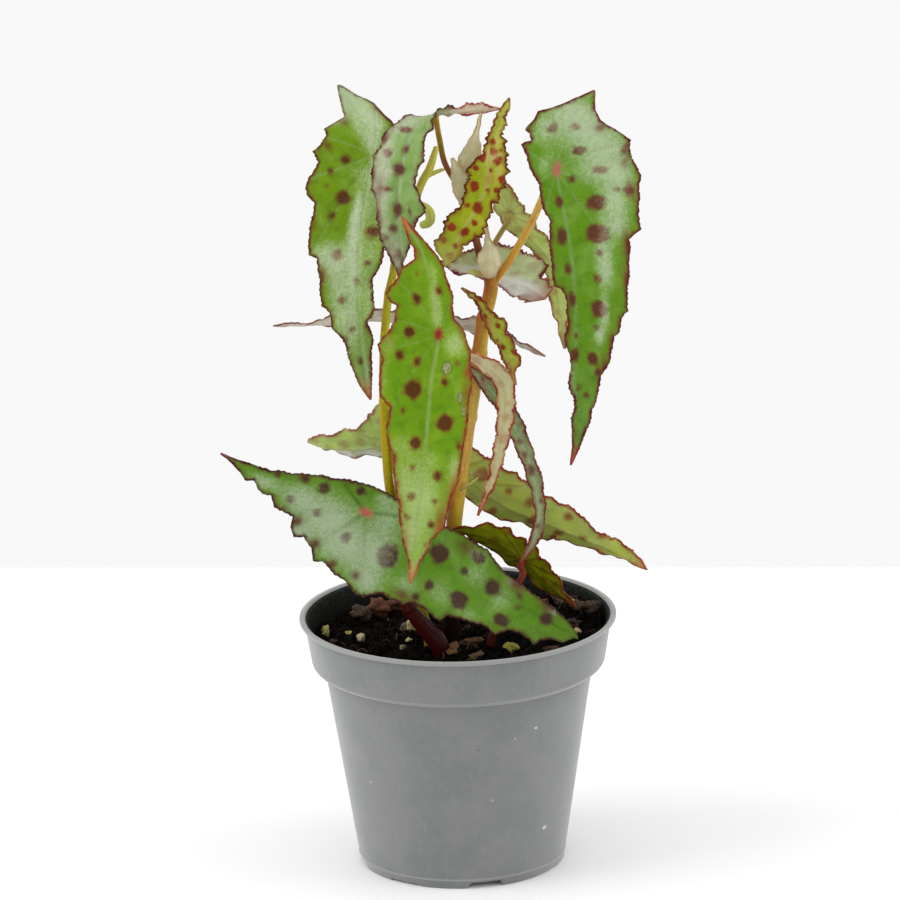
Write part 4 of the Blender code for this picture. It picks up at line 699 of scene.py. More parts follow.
# painted sheen: pale silvery zones that stand for the soft light the glossy skin reflects, over the skin's
# real bloom
SHEEN = {
    "leaf_top_left": [
        (-20.5, -0.5, 3, 2.8, 0.5), (-14.5, -1.5, 4.2, 4.4, 0.7), (-10, -4, 4.2, 4.4, 0.8),
        (-4, -1, 4.4, 3.4, 0.7), (-10, 3, 4.6, 2.4, 0.4), (6.5, 3.5, 3.6, 5.4, 0.35),
        (9, -1.5, 8, 2.6, 0.4), (21.5, 2.5, 8.8, 2.4, 0.8), (31.5, 2.5, 8.4, 2.4, 0.8),
        (45, 2, 9.2, 2.4, 0.75), (60.5, 2.5, 9.8, 2.2, 0.5), (37.5, 12, 5, 6.6, 0.6), (40, 8, 5, 5.6, 0.65),
        (48.5, 7.5, 7.4, 4.8, 0.6), (60, 6.5, 8.4, 4.2, 0.6), (71.5, 4.5, 8.4, 4.4, 0.4),
        (18.5, -3.5, 8, 4.4, 0.35), (36, -4.5, 12, 5, 0.4), (56, -4, 12, 4, 0.45)],
    "leaf_arched": [
        (7, 5.5, 7.6, 8, 0.75), (12, 7.5, 3.2, 4.8, 0.4), (22.5, 8.5, 6.6, 4.2, 0.8),
        (34.5, 7.5, 7.8, 2.6, 0.75), (46, 6.5, 7.8, 2.8, 0.65), (57.5, 3, 6.2, 4.4, 0.65),
        (63, 2, 4.6, 4.4, 0.65), (30, 6, 2.2, 3.6, 0.6), (38, 6, 2.4, 3.6, 0.5), (26, -5, 8, 1.5, 0.3)],
    "leaf_young": [
        (-9, -1.5, 2.8, 3.8, 0.7), (-15, -1.5, 4.4, 2, 0.5), (-2.5, 1, 7.8, 1.6, 0.35),
        (-2.5, -3.5, 3.2, 2.2, 0.5)],
    "leaf_right": [
        (-19.5, 0.5, 5.4, 8.2, 0.9), (-14, -7.5, 7.4, 9.6, 0.85), (-12.5, 8, 4.2, 5.2, 0.6),
        (-7, -16.5, 7.6, 8.2, 0.85), (2, -15.5, 4.8, 8, 0.6), (3.5, -23, 7.6, 5.2, 0.85),
        (14, -19, 6.4, 5.2, 0.8), (22.5, -19, 5, 3.8, 0.75), (25.5, -13.5, 6.2, 3, 0.5),
        (38.5, -12, 6.4, 3.4, 0.8), (31, -12, 4.8, 3, 0.55), (54, -11, 6.2, 1.8, 0.85),
        (63, -9, 3.8, 1.8, 0.85), (79, 2, 8.6, 1.8, 0.45), (-1.5, 5, 4, 3, 0.45)],
    "leaf_front": [
        (-23.5, -1.5, 4.6, 2, 0.5), (-12.5, 0, 7, 2.2, 0.75), (-6, 0.5, 3.8, 1.8, 0.6),
        (3, -6.5, 4.2, 3.8, 0.85), (6.5, 18.5, 5.6, 3, 0.45), (18.5, 18, 6.8, 1.8, 0.35),
        (20.5, -10.5, 5.4, 2.2, 0.35), (42, 9.5, 4.4, 6, 0.4), (50, -11.5, 6.6, 2.2, 0.75),
        (55.5, 6.5, 9.8, 6, 0.6), (62.5, -1.5, 11.6, 6, 0.75), (77, 2, 11.8, 4.6, 0.8),
        (47, -2, 3.8, 4.4, 0.35)],
    "leaf_low_left": [
        (-39, 5, 6.8, 3, 0.65), (-23.5, 6.5, 7.6, 5.6, 0.8), (-10.5, 8.5, 10.4, 9.4, 0.85),
        (-1, 15.5, 9, 8.8, 0.85), (-18, 17.5, 4.4, 4.2, 0.8), (11, 11, 7, 8.6, 0.8),
        (12, 23, 6.2, 5.4, 0.8), (8.5, -2, 5.6, 6.8, 0.6), (4, -8, 3.6, 2.6, 0.6), (26.5, 16, 4.6, 5, 0.5),
        (39, 11.5, 6.4, 5.6, 0.4), (47.5, -2, 5.6, 4.6, 0.45), (51.5, 12.5, 5, 3.4, 0.4),
        (60, 1.5, 4.6, 5.2, 0.45), (44.5, -9, 4.4, 2.4, 0.55), (62, -7.5, 3.2, 2.4, 0.6),
        (79.5, -4.5, 2.4, 1.4, 0.7)],
    "leaf_low_right": [(8, 4, 4.6, 4.8, 0.5), (32.5, -6, 6, 8.6, 0.35), (22, -2.5, 4.4, 8.6, 0.4)],
    "leaf_mid_right": [(2.5, -5, 20.4, 7.4, 0.95), (19, -6.5, 11.2, 8.8, 0.95), (-7.5, -1, 8.2, 4.6, 0.8)],
    "leaf_mid_left": [(26, 6.5, 6.6, 6.2, 0.95), (15, 10.5, 5, 11.2, 0.9), (1.5, -13.5, 2.2, 3.8, 0.4)],
}
SCARS = {
    "leaf_front": [(11.5, -5, 2.4, 1.7), (22.5, -11.5, 2.2, 0.8), (27.5, -13, 2.0, 0.7)],
}
FLUSH = {
    "leaf_top_left": [
        (-14, 6.5, 2, 1.6, 0.9), (-3.5, 16, 2.2, 1.4, 0.8), (12, 21.5, 1.6, 1.6, 0.5),
        (26.5, 18, 2.2, 1.4, 0.5), (44.5, 13.5, 2.8, 1.4, 0.8), (69.5, 6, 1.4, 1, 0.6),
        (65, -2.5, 1.6, 1, 0.7), (29, -4, 2.2, 2, 0.6)],
    "leaf_arched": [
        (16.5, 10, 2.2, 1.6, 0.7), (36, 7.5, 4.2, 1.4, 0.6), (46.5, 7.5, 3.4, 1.4, 0.7),
        (61, 4, 5.4, 1.6, 0.5)],
    "leaf_right": [
        (-17, -11, 2, 1.8, 0.8), (-1.5, -25.5, 3.2, 1.4, 0.6), (11, -26.5, 4, 1.8, 0.6),
        (30.5, -21.8, 5, 1.8, 1), (42, -20.2, 3.6, 1.5, 1), (31.5, 8.5, 6.8, 1.2, 0.9),
        (65, -14, 3.6, 1.6, 0.7), (75, -11, 3.8, 1.4, 0.8), (61.5, 3, 4, 1.2, 0.7),
        (-11.5, 14, 1.4, 1.6, 0.5)],
    "leaf_front": [
        (-2, -9, 3.2, 1.4, 0.6), (11.5, -13, 2.8, 1.6, 0.9), (20, -13.5, 4, 1.6, 0.6),
        (47, 11.5, 1.8, 1.2, 0.8), (57, 9.5, 2.2, 1.2, 0.8), (-2.5, 18.5, 11.6, 1.4, 0.4),
        (67.5, 7.5, 4.2, 1.6, 0.7), (58, -12.5, 6.2, 2.2, 0.9), (82, 4, 6.6, 1.6, 0.6),
        (72, -8.5, 8, 2, 0.85)],
    "leaf_low_left": [
        (-20.5, 15, 1.8, 2.2, 1), (-10.5, 20, 1.8, 2.2, 1), (-1.5, 25, 1.6, 2.2, 1), (8, 24, 1.6, 1.8, 0.9),
        (-33, 10, 1.2, 1.2, 0.6), (-27.5, 13, 1.2, 1.6, 0.6), (27, 20.5, 3.4, 2.4, 0.8),
        (-27, -2.5, 2.4, 1.6, 0.8), (-40, -1, 2, 1, 0.7), (39.5, -9.5, 4.4, 2.6, 0.7),
        (63.5, -7, 3.8, 2.8, 0.9), (77.5, -5, 3.6, 2.2, 0.8), (-12, -8.5, 2.8, 1.6, 0.7)],
}


SPOT_SIZE = 1.02            # the size at which a spot has half of its colour
YOUNG_SPOT_SIZE = 1.15      # spots of the young leaves have a harder edge
SPOT_TRIES = 60
SPOT_SIZES = (1.0, 1.2, 1.6, 2.2)
SPOT_GAP = 3.2              # room between two spots in mm
FAR = 9.0                   # distances to a spot are cut off here


def spot_list(name, flat_points, seed):
    """The leaf's spots: its own list, or one spot after another where there is still room."""
    if name in SPOTS:
        return SPOTS[name]
    draw = random.Random(40 + seed)
    spots = []
    for _ in range(SPOT_TRIES):
        u, v, rim = flat_points[draw.randrange(len(flat_points))]
        size = draw.choice(SPOT_SIZES)
        if rim > size and all(math.hypot(u - a, v - b) > SPOT_GAP + r for a, b, r, _ in spots):
            spots.append((u, v, size, size * draw.uniform(0.8, 1.1)))
    return spots


def nearest_spot(u, v, spots, size):
    """Distance in mm to the edge of the nearest spot, below 0 inside it."""
    best = np.full(u.shape, FAR)
    for a, b, ru, rv in spots:
        reach = np.hypot((u - a) / ru, (v - b) / rv)
        best = np.minimum(best, (reach - size) * 0.5 * (ru + rv))
    return best


def soft_zones(u, v, zones):
    """0 to 1, level in the middle of each zone and fading out past its edge; zones add up."""
    clear = np.ones(u.shape)
    for a, b, ru, rv, amount in zones:
        reach = ((u - a) / ru) ** 2 + ((v - b) / rv) ** 2
        clear *= 1 - amount * np.exp(-0.85 * reach)
    return 1 - clear


print("hand-placed spots", sum(len(spots) for spots in SPOTS.values()))


# %% [markdown]
# ## A leaf's finish
# The upper skin is glossy green with pale veins that spread from the hub, a fine net between them,
# the spots, and a thin dark red line round the margin. The underside is paler with the spots shining
# through. A painted picture could do this, but nodes stay sharp at any size: they read the place on
# the leaf in mm, the distance to the margin and the marks, which the mesh carries as attributes.
# Part of the light passes through the blade, so leaves lit from behind glow yellow-green.

# %% Leaf finishes
SLOT_LEAVES = {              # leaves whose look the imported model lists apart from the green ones
    "young_leaf": ("leaf_young", "leaf_small_upright"),
    "pale_leaf": ("leaf_mid_left", "leaf_mid_right", "leaf_pale_drooping", "leaf_level_back"),
}
frame_slots = {name: "green_leaf" for name in LEAVES}
for slot, names in SLOT_LEAVES.items():
    frame_slots.update({name: slot for name in names})
VEINS = 10                   # main veins spread from the hub
VEIN_STRETCH = 1.5           # the veins crowd towards the long axis
LOOKS = {
    # green, lighter green, bloom and painted sheen, spot, pale spot, margin, flush, tip, underside, hub
    "leaf_top_left": ((118, 158, 0), (142, 180, 64), (210, 224, 190), (92, 30, 22), (156, 108, 94),
                      (90, 36, 30), (126, 66, 22), (222, 120, 76), (206, 220, 166), (150, 110, 90)),
    "leaf_arched": ((132, 172, 84), (156, 184, 116), (206, 208, 184), (100, 38, 42), (146, 98, 98),
                    (84, 26, 32), (136, 84, 70), (170, 110, 96), (226, 214, 184), (150, 120, 100)),
    "leaf_young": ((160, 176, 0), (196, 200, 56), (226, 206, 150), (146, 0, 8), (182, 44, 48), (96, 24, 12),
                   (156, 60, 20), (200, 206, 100), (206, 208, 120), (176, 60, 50)),
    "leaf_right": ((100, 150, 0), (134, 176, 70), (196, 212, 176), (100, 32, 34), (146, 96, 94),
                   (104, 20, 36), (116, 34, 30), (210, 90, 80), (206, 218, 156), (206, 92, 100)),
    "leaf_front": ((110, 158, 0), (142, 180, 36), (190, 212, 138), (88, 20, 8), (132, 64, 48),
                   (134, 42, 34), (156, 80, 36), (232, 150, 96), (202, 214, 136), (160, 8, 32)),
    "leaf_low_left": ((92, 140, 14), (122, 162, 68), (184, 198, 168), (70, 28, 34), (112, 84, 88),
                      (72, 26, 32), (98, 52, 36), (104, 140, 40), (180, 192, 144), (208, 84, 92)),
    "leaf_low_right": ((186, 204, 88), (200, 216, 116), (216, 226, 168), (156, 76, 50), (180, 116, 88),
                       (156, 50, 48), (186, 100, 70), (214, 116, 90), (206, 222, 96), (170, 90, 70)),
    "leaf_mid_left": ((178, 204, 110), (194, 220, 118), (250, 252, 240), (164, 130, 90), (200, 180, 160),
                      (170, 104, 90), (182, 140, 100), (196, 206, 110), (206, 230, 118), (160, 110, 100)),
    "leaf_top_back": ((190, 212, 110), (214, 234, 128), (234, 240, 200), (190, 160, 100), (200, 180, 146),
                      (170, 100, 70), (190, 150, 96), (190, 160, 110), (226, 242, 146), (180, 130, 100)),
    "leaf_mid_right": ((196, 214, 156), (212, 230, 168), (252, 254, 248), (190, 160, 120), (210, 190, 170),
                       (140, 46, 46), (186, 120, 96), (190, 110, 90), (222, 238, 182), (180, 130, 120)),
    "leaf_small_upright": ((164, 184, 40), (190, 200, 84), (216, 208, 140), (136, 16, 8), (180, 70, 50),
                           (120, 36, 20), (160, 80, 36), (204, 150, 80), (214, 214, 146), (176, 60, 50)),
    "leaf_pale_drooping": ((200, 206, 140), (216, 216, 168), (234, 228, 196), (190, 130, 100),
                           (196, 168, 112), (160, 40, 46), (210, 156, 112), (200, 110, 80), (222, 216, 162),
                           (190, 120, 100)),
    "leaf_curved_drooping": ((140, 164, 104), (164, 182, 128), (204, 212, 182), (112, 76, 60),
                             (140, 112, 100), (116, 30, 40), (144, 84, 70), (170, 84, 70), (210, 210, 178),
                             (160, 90, 80)),
    "leaf_level_back": ((176, 182, 146), (222, 218, 200), (236, 230, 220), (170, 136, 120), (190, 170, 160),
                        (126, 60, 58), (186, 150, 136), (210, 170, 150), (246, 238, 226), (180, 130, 120)),
    "leaf_low_dark": ((120, 130, 8), (146, 156, 14), (156, 164, 50), (110, 52, 20), (124, 76, 40),
                      (130, 40, 26), (132, 62, 26), (160, 84, 40), (146, 154, 8), (150, 50, 40)),
}
HEELS = {
    # where the heel's own colour starts and is full, in mm behind the hub; its colour; its margin
    "leaf_top_left": (-11.0, -19.0, (184, 204, 160), (128, 116, 84)),
    "leaf_arched": (-6.5, -9.5, (242, 222, 196), (180, 56, 66)),
    "leaf_front": (-38.0, -45.0, (214, 128, 76), (170, 60, 50)),
    "leaf_right": (-27.0, -30.5, (170, 130, 80), (120, 50, 40)),
    "leaf_low_left": (-52.0, -58.0, (170, 120, 90), (130, 60, 60)),
    "leaf_young": (-12.0, -20.0, (190, 200, 80), (130, 60, 30)),
    "leaf_small_upright": (-8.0, -14.0, (180, 190, 80), (130, 80, 40)),
    "leaf_pale_drooping": (22.0, 6.0, (242, 228, 190), (214, 84, 50)),
    "leaf_level_back": (-20.0, -50.0, (244, 236, 222), (150, 90, 84)),
}
# creased leaves get painted shade along their veins instead of pale veins
SHADED_CREASE_LEAVES = ("leaf_low_left",)     # creased leaves whose veins are dark instead of pale
# how strongly a leaf shows its rib, its toe's paleness, its hub mark and its spots, from 0 to 1:
# first the usual number, then the leaves that differ
RIB, RIBS = 0.3, {"leaf_right": 0.1, "leaf_low_left": 0.0, "leaf_top_left": 0.35}
TOE, TOES = 0.15, {"leaf_front": 0.6, "leaf_top_left": 0.25, "leaf_right": 0.1, "leaf_low_left": 0.0}
HUB, HUBS = 0.35, {"leaf_front": 0.95, "leaf_right": 0.8, "leaf_low_left": 0.8, "leaf_top_left": 0.0}
UNDER_HUB = 0.2
UPPER_SPOT = 0.92
UNDER_SPOT, UNDER_SPOTS = 0.5, {"leaf_low_right": 0.8}
SPOT_BLUR = {"young_leaf": 0.6}     # width in mm of a spot's soft edge
USUAL_BLUR = 1.15
TIP_LENGTH = 12.0                   # mm of the toe that turn the tip's colour
SCAR_RIM, SCAR_BROWN, SCAR_PALE = paint(96, 62, 24), paint(130, 136, 84), paint(190, 198, 156)
LOOK_PARTS = ("green", "light", "bloom_and_sheen", "spot", "pale_spot", "margin", "flush", "tip", "under", "hub")


def leaf_places(skin):
    """What the mesh and the noises say at each place of a leaf, by name."""
    along, across, rim = skin.split(skin.attribute("place"))
    spot, bloom_and_sheen, flush = skin.split(skin.attribute("marks"))
    flat = skin.join(along, across, 0.0)
    return SimpleNamespace(
        along=along, across=across, rim=rim, spot=spot, bloom_and_sheen=bloom_and_sheen, flush=flush, flat=flat,
        patches=skin.noise(flat, 0.09, 2), grain=skin.noise(flat, 1.5, 4, 0.65),
        fine=skin.noise(flat, 0.6, 2), uneven=skin.noise(flat, 0.28, 1))


def find_veins(skin, at):
    """The veins that spread from the hub, the rib, and the fine net between them."""
    wide = skin.times(at.across, VEIN_STRETCH)
    at.reach = skin.maths("SQRT", skin.maths("ADD", skin.times(at.along, at.along), skin.times(wide, wide)))
    turns = skin.times(skin.maths("ARCTAN2", wide, at.along), VEINS / (2 * math.pi))
    turns = skin.fray(turns, at.fine, 0.2)
    at.vein_number = skin.maths("ROUND", turns)
    beside = skin.times(skin.apart(turns, at.vein_number), at.reach)
    at.to_vein = skin.times(beside, 2 * math.pi / VEINS / VEIN_STRETCH)
    at.vein = skin.step(at.to_vein, 0.7, 0.05)
    at.rib = skin.step(skin.maths("ABSOLUTE", at.across), 1.3, 0.2)
    at.net = skin.step(skin.cells(at.flat, 0.42, "DISTANCE_TO_EDGE"), 0.10, 0.02)


def under_colour(skin, at, look):
    """The underside: pale, blotchy, with faint veins and cloudy zones of bloom and painted sheen."""
    colour = skin.mix(skin.step(at.patches, 0.35, 0.65), look["under"], look["light"])
    colour = skin.mix(skin.step(at.grain, 0.45, 0.8, 0.0, 0.25), colour, look["bloom_and_sheen"])
    colour = skin.mix(skin.times(at.vein, 0.3), colour, look["pale_spot"])
    colour = skin.mix(skin.times(at.net, 0.12), colour, look["green"])
    at.cloudy = skin.step(at.bloom_and_sheen, 0.25, 0.75)
    return skin.mix(at.cloudy, colour, look["bloom_and_sheen"])


def upper_green(skin, at, look, name, toe):
    """The green of the upper face with its patches, its net and its pale veins and rib."""
    colour = skin.mix(skin.step(at.patches, 0.45, 0.75, 0.0, 0.6), look["green"], look["light"])
    colour = skin.mix(skin.step(at.uneven, 0.52, 0.3, 0.0, 0.5), colour, skin.dyed(colour, (0.6, 0.7, 0.5)))
    # the toe turns paler towards its tip
    paler_toe = skin.step(at.along, 0.5 * toe, toe, 0.0, TOES.get(name, TOE))
    colour = skin.mix(paler_toe, colour, look["bloom_and_sheen"])
    colour = skin.mix(skin.times(at.net, 0.1), colour, look["light"])
    if name not in SHADED_CREASE_LEAVES:
        colour = skin.mix(skin.times(at.vein, 0.12), colour, look["bloom_and_sheen"])
    return skin.mix(skin.times(at.rib, RIBS.get(name, RIB)), colour, look["bloom_and_sheen"])


def upper_colour(skin, at, look, name, toe):
    """The upper face: its green, the ragged silvery bloom and painted sheen over it, painted shade in the
    creases and a fine grain.
    """
    colour = upper_green(skin, at, look, name, toe)
    # painted sheen: the zones turn lighter, then ragged and silvery
    colour = skin.mix(skin.step(at.bloom_and_sheen, 0.0, 0.5, 0.0, 0.7), colour, look["light"])
    frayed = skin.fray(skin.fray(at.bloom_and_sheen, at.grain, 0.9), at.fine, 0.7)
    at.cloudy = skin.times(skin.step(frayed, 0.15, 1.0), skin.step(at.bloom_and_sheen, 0.0, 0.3))
    colour = skin.mix(skin.times(at.cloudy, 0.85), colour, look["bloom_and_sheen"])
    # painted shade: chosen veins near the hub darken, as shade in their creases
    if name in SHADED_CREASE_LEAVES:
        turned = skin.maths("ADD", skin.times(at.vein_number, 2.0), 1.2)
        chosen = skin.step(skin.maths("COSINE", turned), 0.2, 0.8)
        painted_shade_line = skin.times(skin.step(at.to_vein, 1.1, 0.1), chosen)
        painted_shade_line = skin.times(painted_shade_line, skin.step(at.reach, 28, 6, 0.0, 0.65))
        colour = skin.mix(painted_shade_line, colour, skin.dyed(colour, (0.36, 0.48, 0.36)))
    colour = skin.mix(skin.step(at.grain, 0.5, 0.8, 0.0, 0.16), colour, look["bloom_and_sheen"])
    return skin.mix(skin.step(at.grain, 0.5, 0.25, 0.0, 0.3), colour, look["green"])


def add_heel(skin, at, look, name, colour):
    """The heel's own colour, also for its margin and its flush."""
    start, full, heel_colour, heel_margin = HEELS[name]
    heel = skin.step(at.along, start, full)
    look["margin"] = skin.mix(heel, look["margin"], paint(*heel_margin))
    look["flush"] = skin.mix(skin.times(heel, 0.7), look["flush"], paint(*heel_colour))
    return skin.mix(skin.times(heel, 0.85), colour, paint(*heel_colour))


def add_spots(skin, at, look, name, amount, colour):
    """Round spots, paler under the bloom and painted sheen, with a soft red edge."""
    edge = skin.fray(skin.fray(at.spot, at.fine, 1.0), at.uneven, 1.8)
    dot = skin.mix(at.cloudy, look["spot"], look["pale_spot"])
    dot = skin.mix(skin.step(at.grain, 0.5, 0.8, 0.0, 0.5), dot, look["pale_spot"])
    dot = skin.mix(skin.step(edge, 0.0, -1.2, 0.5, 0.0), dot, look["flush"])
    blur = SPOT_BLUR.get(frame_slots[name], USUAL_BLUR)
    stain = skin.step(edge, blur, -blur, 0.0, amount)
    return skin.mix(skin.times(stain, skin.step(at.cloudy, 0.0, 1.0, 1.0, 0.75)), colour, dot)


def add_scars(skin, at, name, colour):
    """Healed holes: a corky rim round dry tissue."""
    for along, across, half_length, half_width in SCARS.get(name, ()):
        torn = skin.away_from(at.flat, (along, across, 0.0), (half_length, half_width, 1.0))
        torn = skin.fray(torn, at.fine, 1.0)
        dry = skin.mix(skin.step(at.grain, 0.35, 0.65), SCAR_BROWN, SCAR_PALE)
        colour = skin.mix(skin.step(torn, 1.4, 1.0, 0.0, 0.5), colour, SCAR_RIM)
        colour = skin.mix(skin.step(torn, 1.1, 0.7, 0.0, 0.8), colour, dry)
    return colour


def add_rim_and_hub(skin, at, look, hub_share, toe, colour):
    """The broken red line round the margin, the red star at the hub and the coloured tip."""
    line = skin.fray(at.rim, at.fine, 1.2)
    broken = skin.step(at.uneven, 0.32, 0.52, 0.45, 1.0)
    colour = skin.mix(skin.times(skin.step(line, 1.8, 0.5, 0.0, 0.55), broken), colour, look["flush"])
    colour = skin.mix(skin.times(skin.step(line, 0.95, 0.3, 0.0, 0.95), broken), colour, look["margin"])
    star = skin.maths("ADD", skin.maths("DIVIDE", at.reach, VEIN_STRETCH), skin.times(at.to_vein, 2.8))
    star = skin.fray(star, at.fine, 1.4)
    colour = skin.mix(skin.step(star, 3.7, 0.9, 0.0, hub_share), colour, look["hub"])
    return skin.mix(skin.step(at.along, toe - TIP_LENGTH, toe - 1, 0.0, 0.6), colour, look["tip"])


def leaf_finish(name, toe, under):
    """The skin of one face of one leaf. Toe is how far the toe lies from the hub in mm."""
    look = {part: paint(*colour) for part, colour in zip(LOOK_PARTS, LOOKS[name])}
    skin = Recipe(name + (" underside" if under else " upper face"), 0.42 if under else 0.36)
    skin.shader.inputs["Specular IOR Level"].default_value = 0.08 if under else 0.12
    at = leaf_places(skin)
    find_veins(skin, at)
    colour = under_colour(skin, at, look) if under else upper_colour(skin, at, look, name, toe)
    zone = skin.times(at.flush, skin.step(at.grain, 0.2, 0.6, 0.65, 1.15))
    colour = skin.mix(skin.maths("MINIMUM", zone, 0.9), colour, look["flush"])
    if name in HEELS:
        colour = add_heel(skin, at, look, name, colour)
    spot_share = UNDER_SPOTS.get(name, UNDER_SPOT) if under else UPPER_SPOT
    colour = add_spots(skin, at, look, name, spot_share, colour)
    if not under:
        colour = add_scars(skin, at, name, colour)
    hub_share = UNDER_HUB if under else HUBS.get(name, HUB)
    colour = add_rim_and_hub(skin, at, look, hub_share, toe, colour)
    relief = skin.maths("ADD", skin.times(skin.cells(at.flat, 2.6), 0.35), skin.times(at.grain, 0.5))
    relief = skin.maths("ADD", relief, skin.times(at.vein, 0.8 if under else -0.6))
    relief = skin.maths("ADD", relief, skin.times(at.net, 0.3 if under else -0.25))
    skin.bump(relief, 0.22)
    dull, bright = (0.6, 0.5) if under else (0.46, 0.3)
    skin.feed(skin.shader.inputs["Roughness"], skin.step(at.grain, 0.2, 0.8, bright, dull))
    skin.feed(skin.shader.inputs["Base Color"], colour)
    skin.see_through(skin.dyed(colour, (1.0, 1.0, 0.5)), 0.16 if under else 0.12)
    return skin.material


print("finishes for", len(LOOKS), "leaves, veins from each hub:", VEINS)


# %% [markdown]
# ## Building a leaf
# `leaf_surface` lays a grid over the blade: rows from heel to toe, with extra rows at every tooth, and
# columns that crowd towards the margins. The two halves are lifted like a half-open book with a round
# fold, the margins ripple, each notch dips, veins are pressed in, and the hub sinks into a small
# funnel where the stalk holds it. The sheet then gets a thickness and a rounded rim.

# %% Leaf meshes
ROW_STEP = 0.75
LEAF_HALF = 0.24             # half of a leaf's thickness in mm
RIM_OUT = 0.12               # how far the rounded rim stands out
FOLD_ROUND = 1.2
HUB_DEPTH, HUB_REACH = 0.3, 2.1
VEIN_DEPTH, VEIN_WIDTH = 0.22, 0.6
SWELLING = 0.3               # rise of the blade between two veins
UNEVENNESS = 0.22
RUFFLE, RUFFLES = 0.45, {"leaf_young": 0.8, "leaf_arched": 0.8, "leaf_small_upright": 0.8, "leaf_front": 0.6}
RUFFLE_LENGTH = 7.5
WIDE_LEAF = 18.0             # leaves wider than this get more columns
WIDE_COLUMNS, SLIM_COLUMNS = 18, 11


def blade_columns(count):
    """Shares of the half-width from the rib to the margin, closer together at the margin."""
    even = np.arange(count + 1) / count
    return 0.6 * even + 0.4 * np.sin(0.5 * np.pi * even)


def leaf_relief(u, v, q, seed):
    """Small heights on the upper face: pressed veins, soft swellings between them and the hub."""
    wide = v * VEIN_STRETCH
    reach = np.hypot(u, wide)
    turns = np.arctan2(wide, u) * VEINS / (2 * np.pi)
    beside = np.abs(turns - np.round(turns))
    distance = beside * reach * 2 * np.pi / VEINS / VEIN_STRETCH
    away = np.minimum(1, reach / 6)
    veins = -VEIN_DEPTH * away * np.exp(-(distance / VEIN_WIDTH) ** 2)
    swell = SWELLING * away * np.sin(np.pi * np.minimum(1, beside * 2)) * (1 - q ** 2)
    lumps = UNEVENNESS * np.sin(0.55 * u + seed) * np.sin(0.62 * v + 2 * seed) * away
    return veins + swell + lumps - HUB_DEPTH * np.exp(-(u ** 2 + v ** 2) / HUB_REACH ** 2)


def leaf_surface(name, seed, columns):
    """Grid points on the middle of a leaf, with their flat places and the length beyond the hub."""
    leaf = LEAVES[name]
    blade = Blade(leaf["stations"], leaf["faces"])
    hub_share = blade.share_of(leaf["hub"][0])
    knots = {side: margin_knots(name, leaf, side, seed) for side in (1, -1)}
    share = row_shares(knots.values(), blade.total, ROW_STEP)
    rib, _, left, up, wide_left, wide_right = blade.frame(share)
    lift = math.radians(leaf["lift"])
    bend = np.where(share < hub_share, share / max(hub_share, 1e-6), (1 - share) / (1 - hub_share))
    fade = np.minimum(1, 8 * np.minimum(share, 1 - share))
    u = (share - hub_share) * blade.total
    strips, flats = [], []
    for side, q_values in ((1, blade_columns(columns)[::-1]), (-1, blade_columns(columns)[1:])):
        reach = np.interp(share, *zip(*knots[side]))
        if name not in MARGINS:
            reach = reach * fade + np.maximum(wide_left if side > 0 else wide_right, 0.3)
        mean = smooth_share(reach)
        fringe = small_teeth(blade.total, side, seed, FRINGES.get(name, FRINGE))
        margin = np.maximum(reach + np.interp(share, *fringe) * fade, 0.15)
        crowd = np.clip(0.85 * mean / np.maximum(mean - margin, 0.05), 1, 5)
        ruffle = np.sin(2 * np.pi * u / RUFFLE_LENGTH + 1.4 * np.sin(0.17 * u + side) + seed)
        ruffle = RUFFLES.get(name, RUFFLE) * ruffle
        for q in q_values:
            out = q * mean + (margin - mean) * q ** crowd
            v = side * out - leaf["hub"][1] * bend
            ripple = leaf["wave"] * q * q * np.sin(2 * np.pi * (leaf["waves"] * share + 0.23 * side))
            dip = 0.35 * np.clip(margin - mean, -2.5, 0.8) * q ** 4
            fold = math.sin(lift) * (np.sqrt(out ** 2 + FOLD_ROUND ** 2) - FOLD_ROUND)
            height = fold + (ripple + dip + ruffle * q ** 4 + leaf_relief(u, v, q, seed)) * fade
            strips.append(rib + left * (side * out * math.cos(lift))[:, None] + up * height[:, None])
            flats.append(np.stack([u, v], 1))
    return np.stack(strips, 1), np.stack(flats, 1), blade.total * (1 - hub_share)


def rim_distance(flat):
    """How far each grid point lies from the outline, in mm."""
    outline = np.concatenate([flat[:, 0], flat[::-1, -1]])
    ends = np.roll(outline, -1, axis=0)
    spans = ends - outline
    lengths = np.maximum((spans ** 2).sum(1), 1e-9)
    points = flat.reshape(-1, 1, 2)
    best = []
    for block in np.array_split(points, max(1, len(points) // 2000)):
        t = np.clip(((block - outline) * spans).sum(2) / lengths, 0, 1)
        gaps = np.linalg.norm(block - outline - t[..., None] * spans, axis=2)
        best.append(gaps.min(1))
    return np.concatenate(best).reshape(flat.shape[:2])


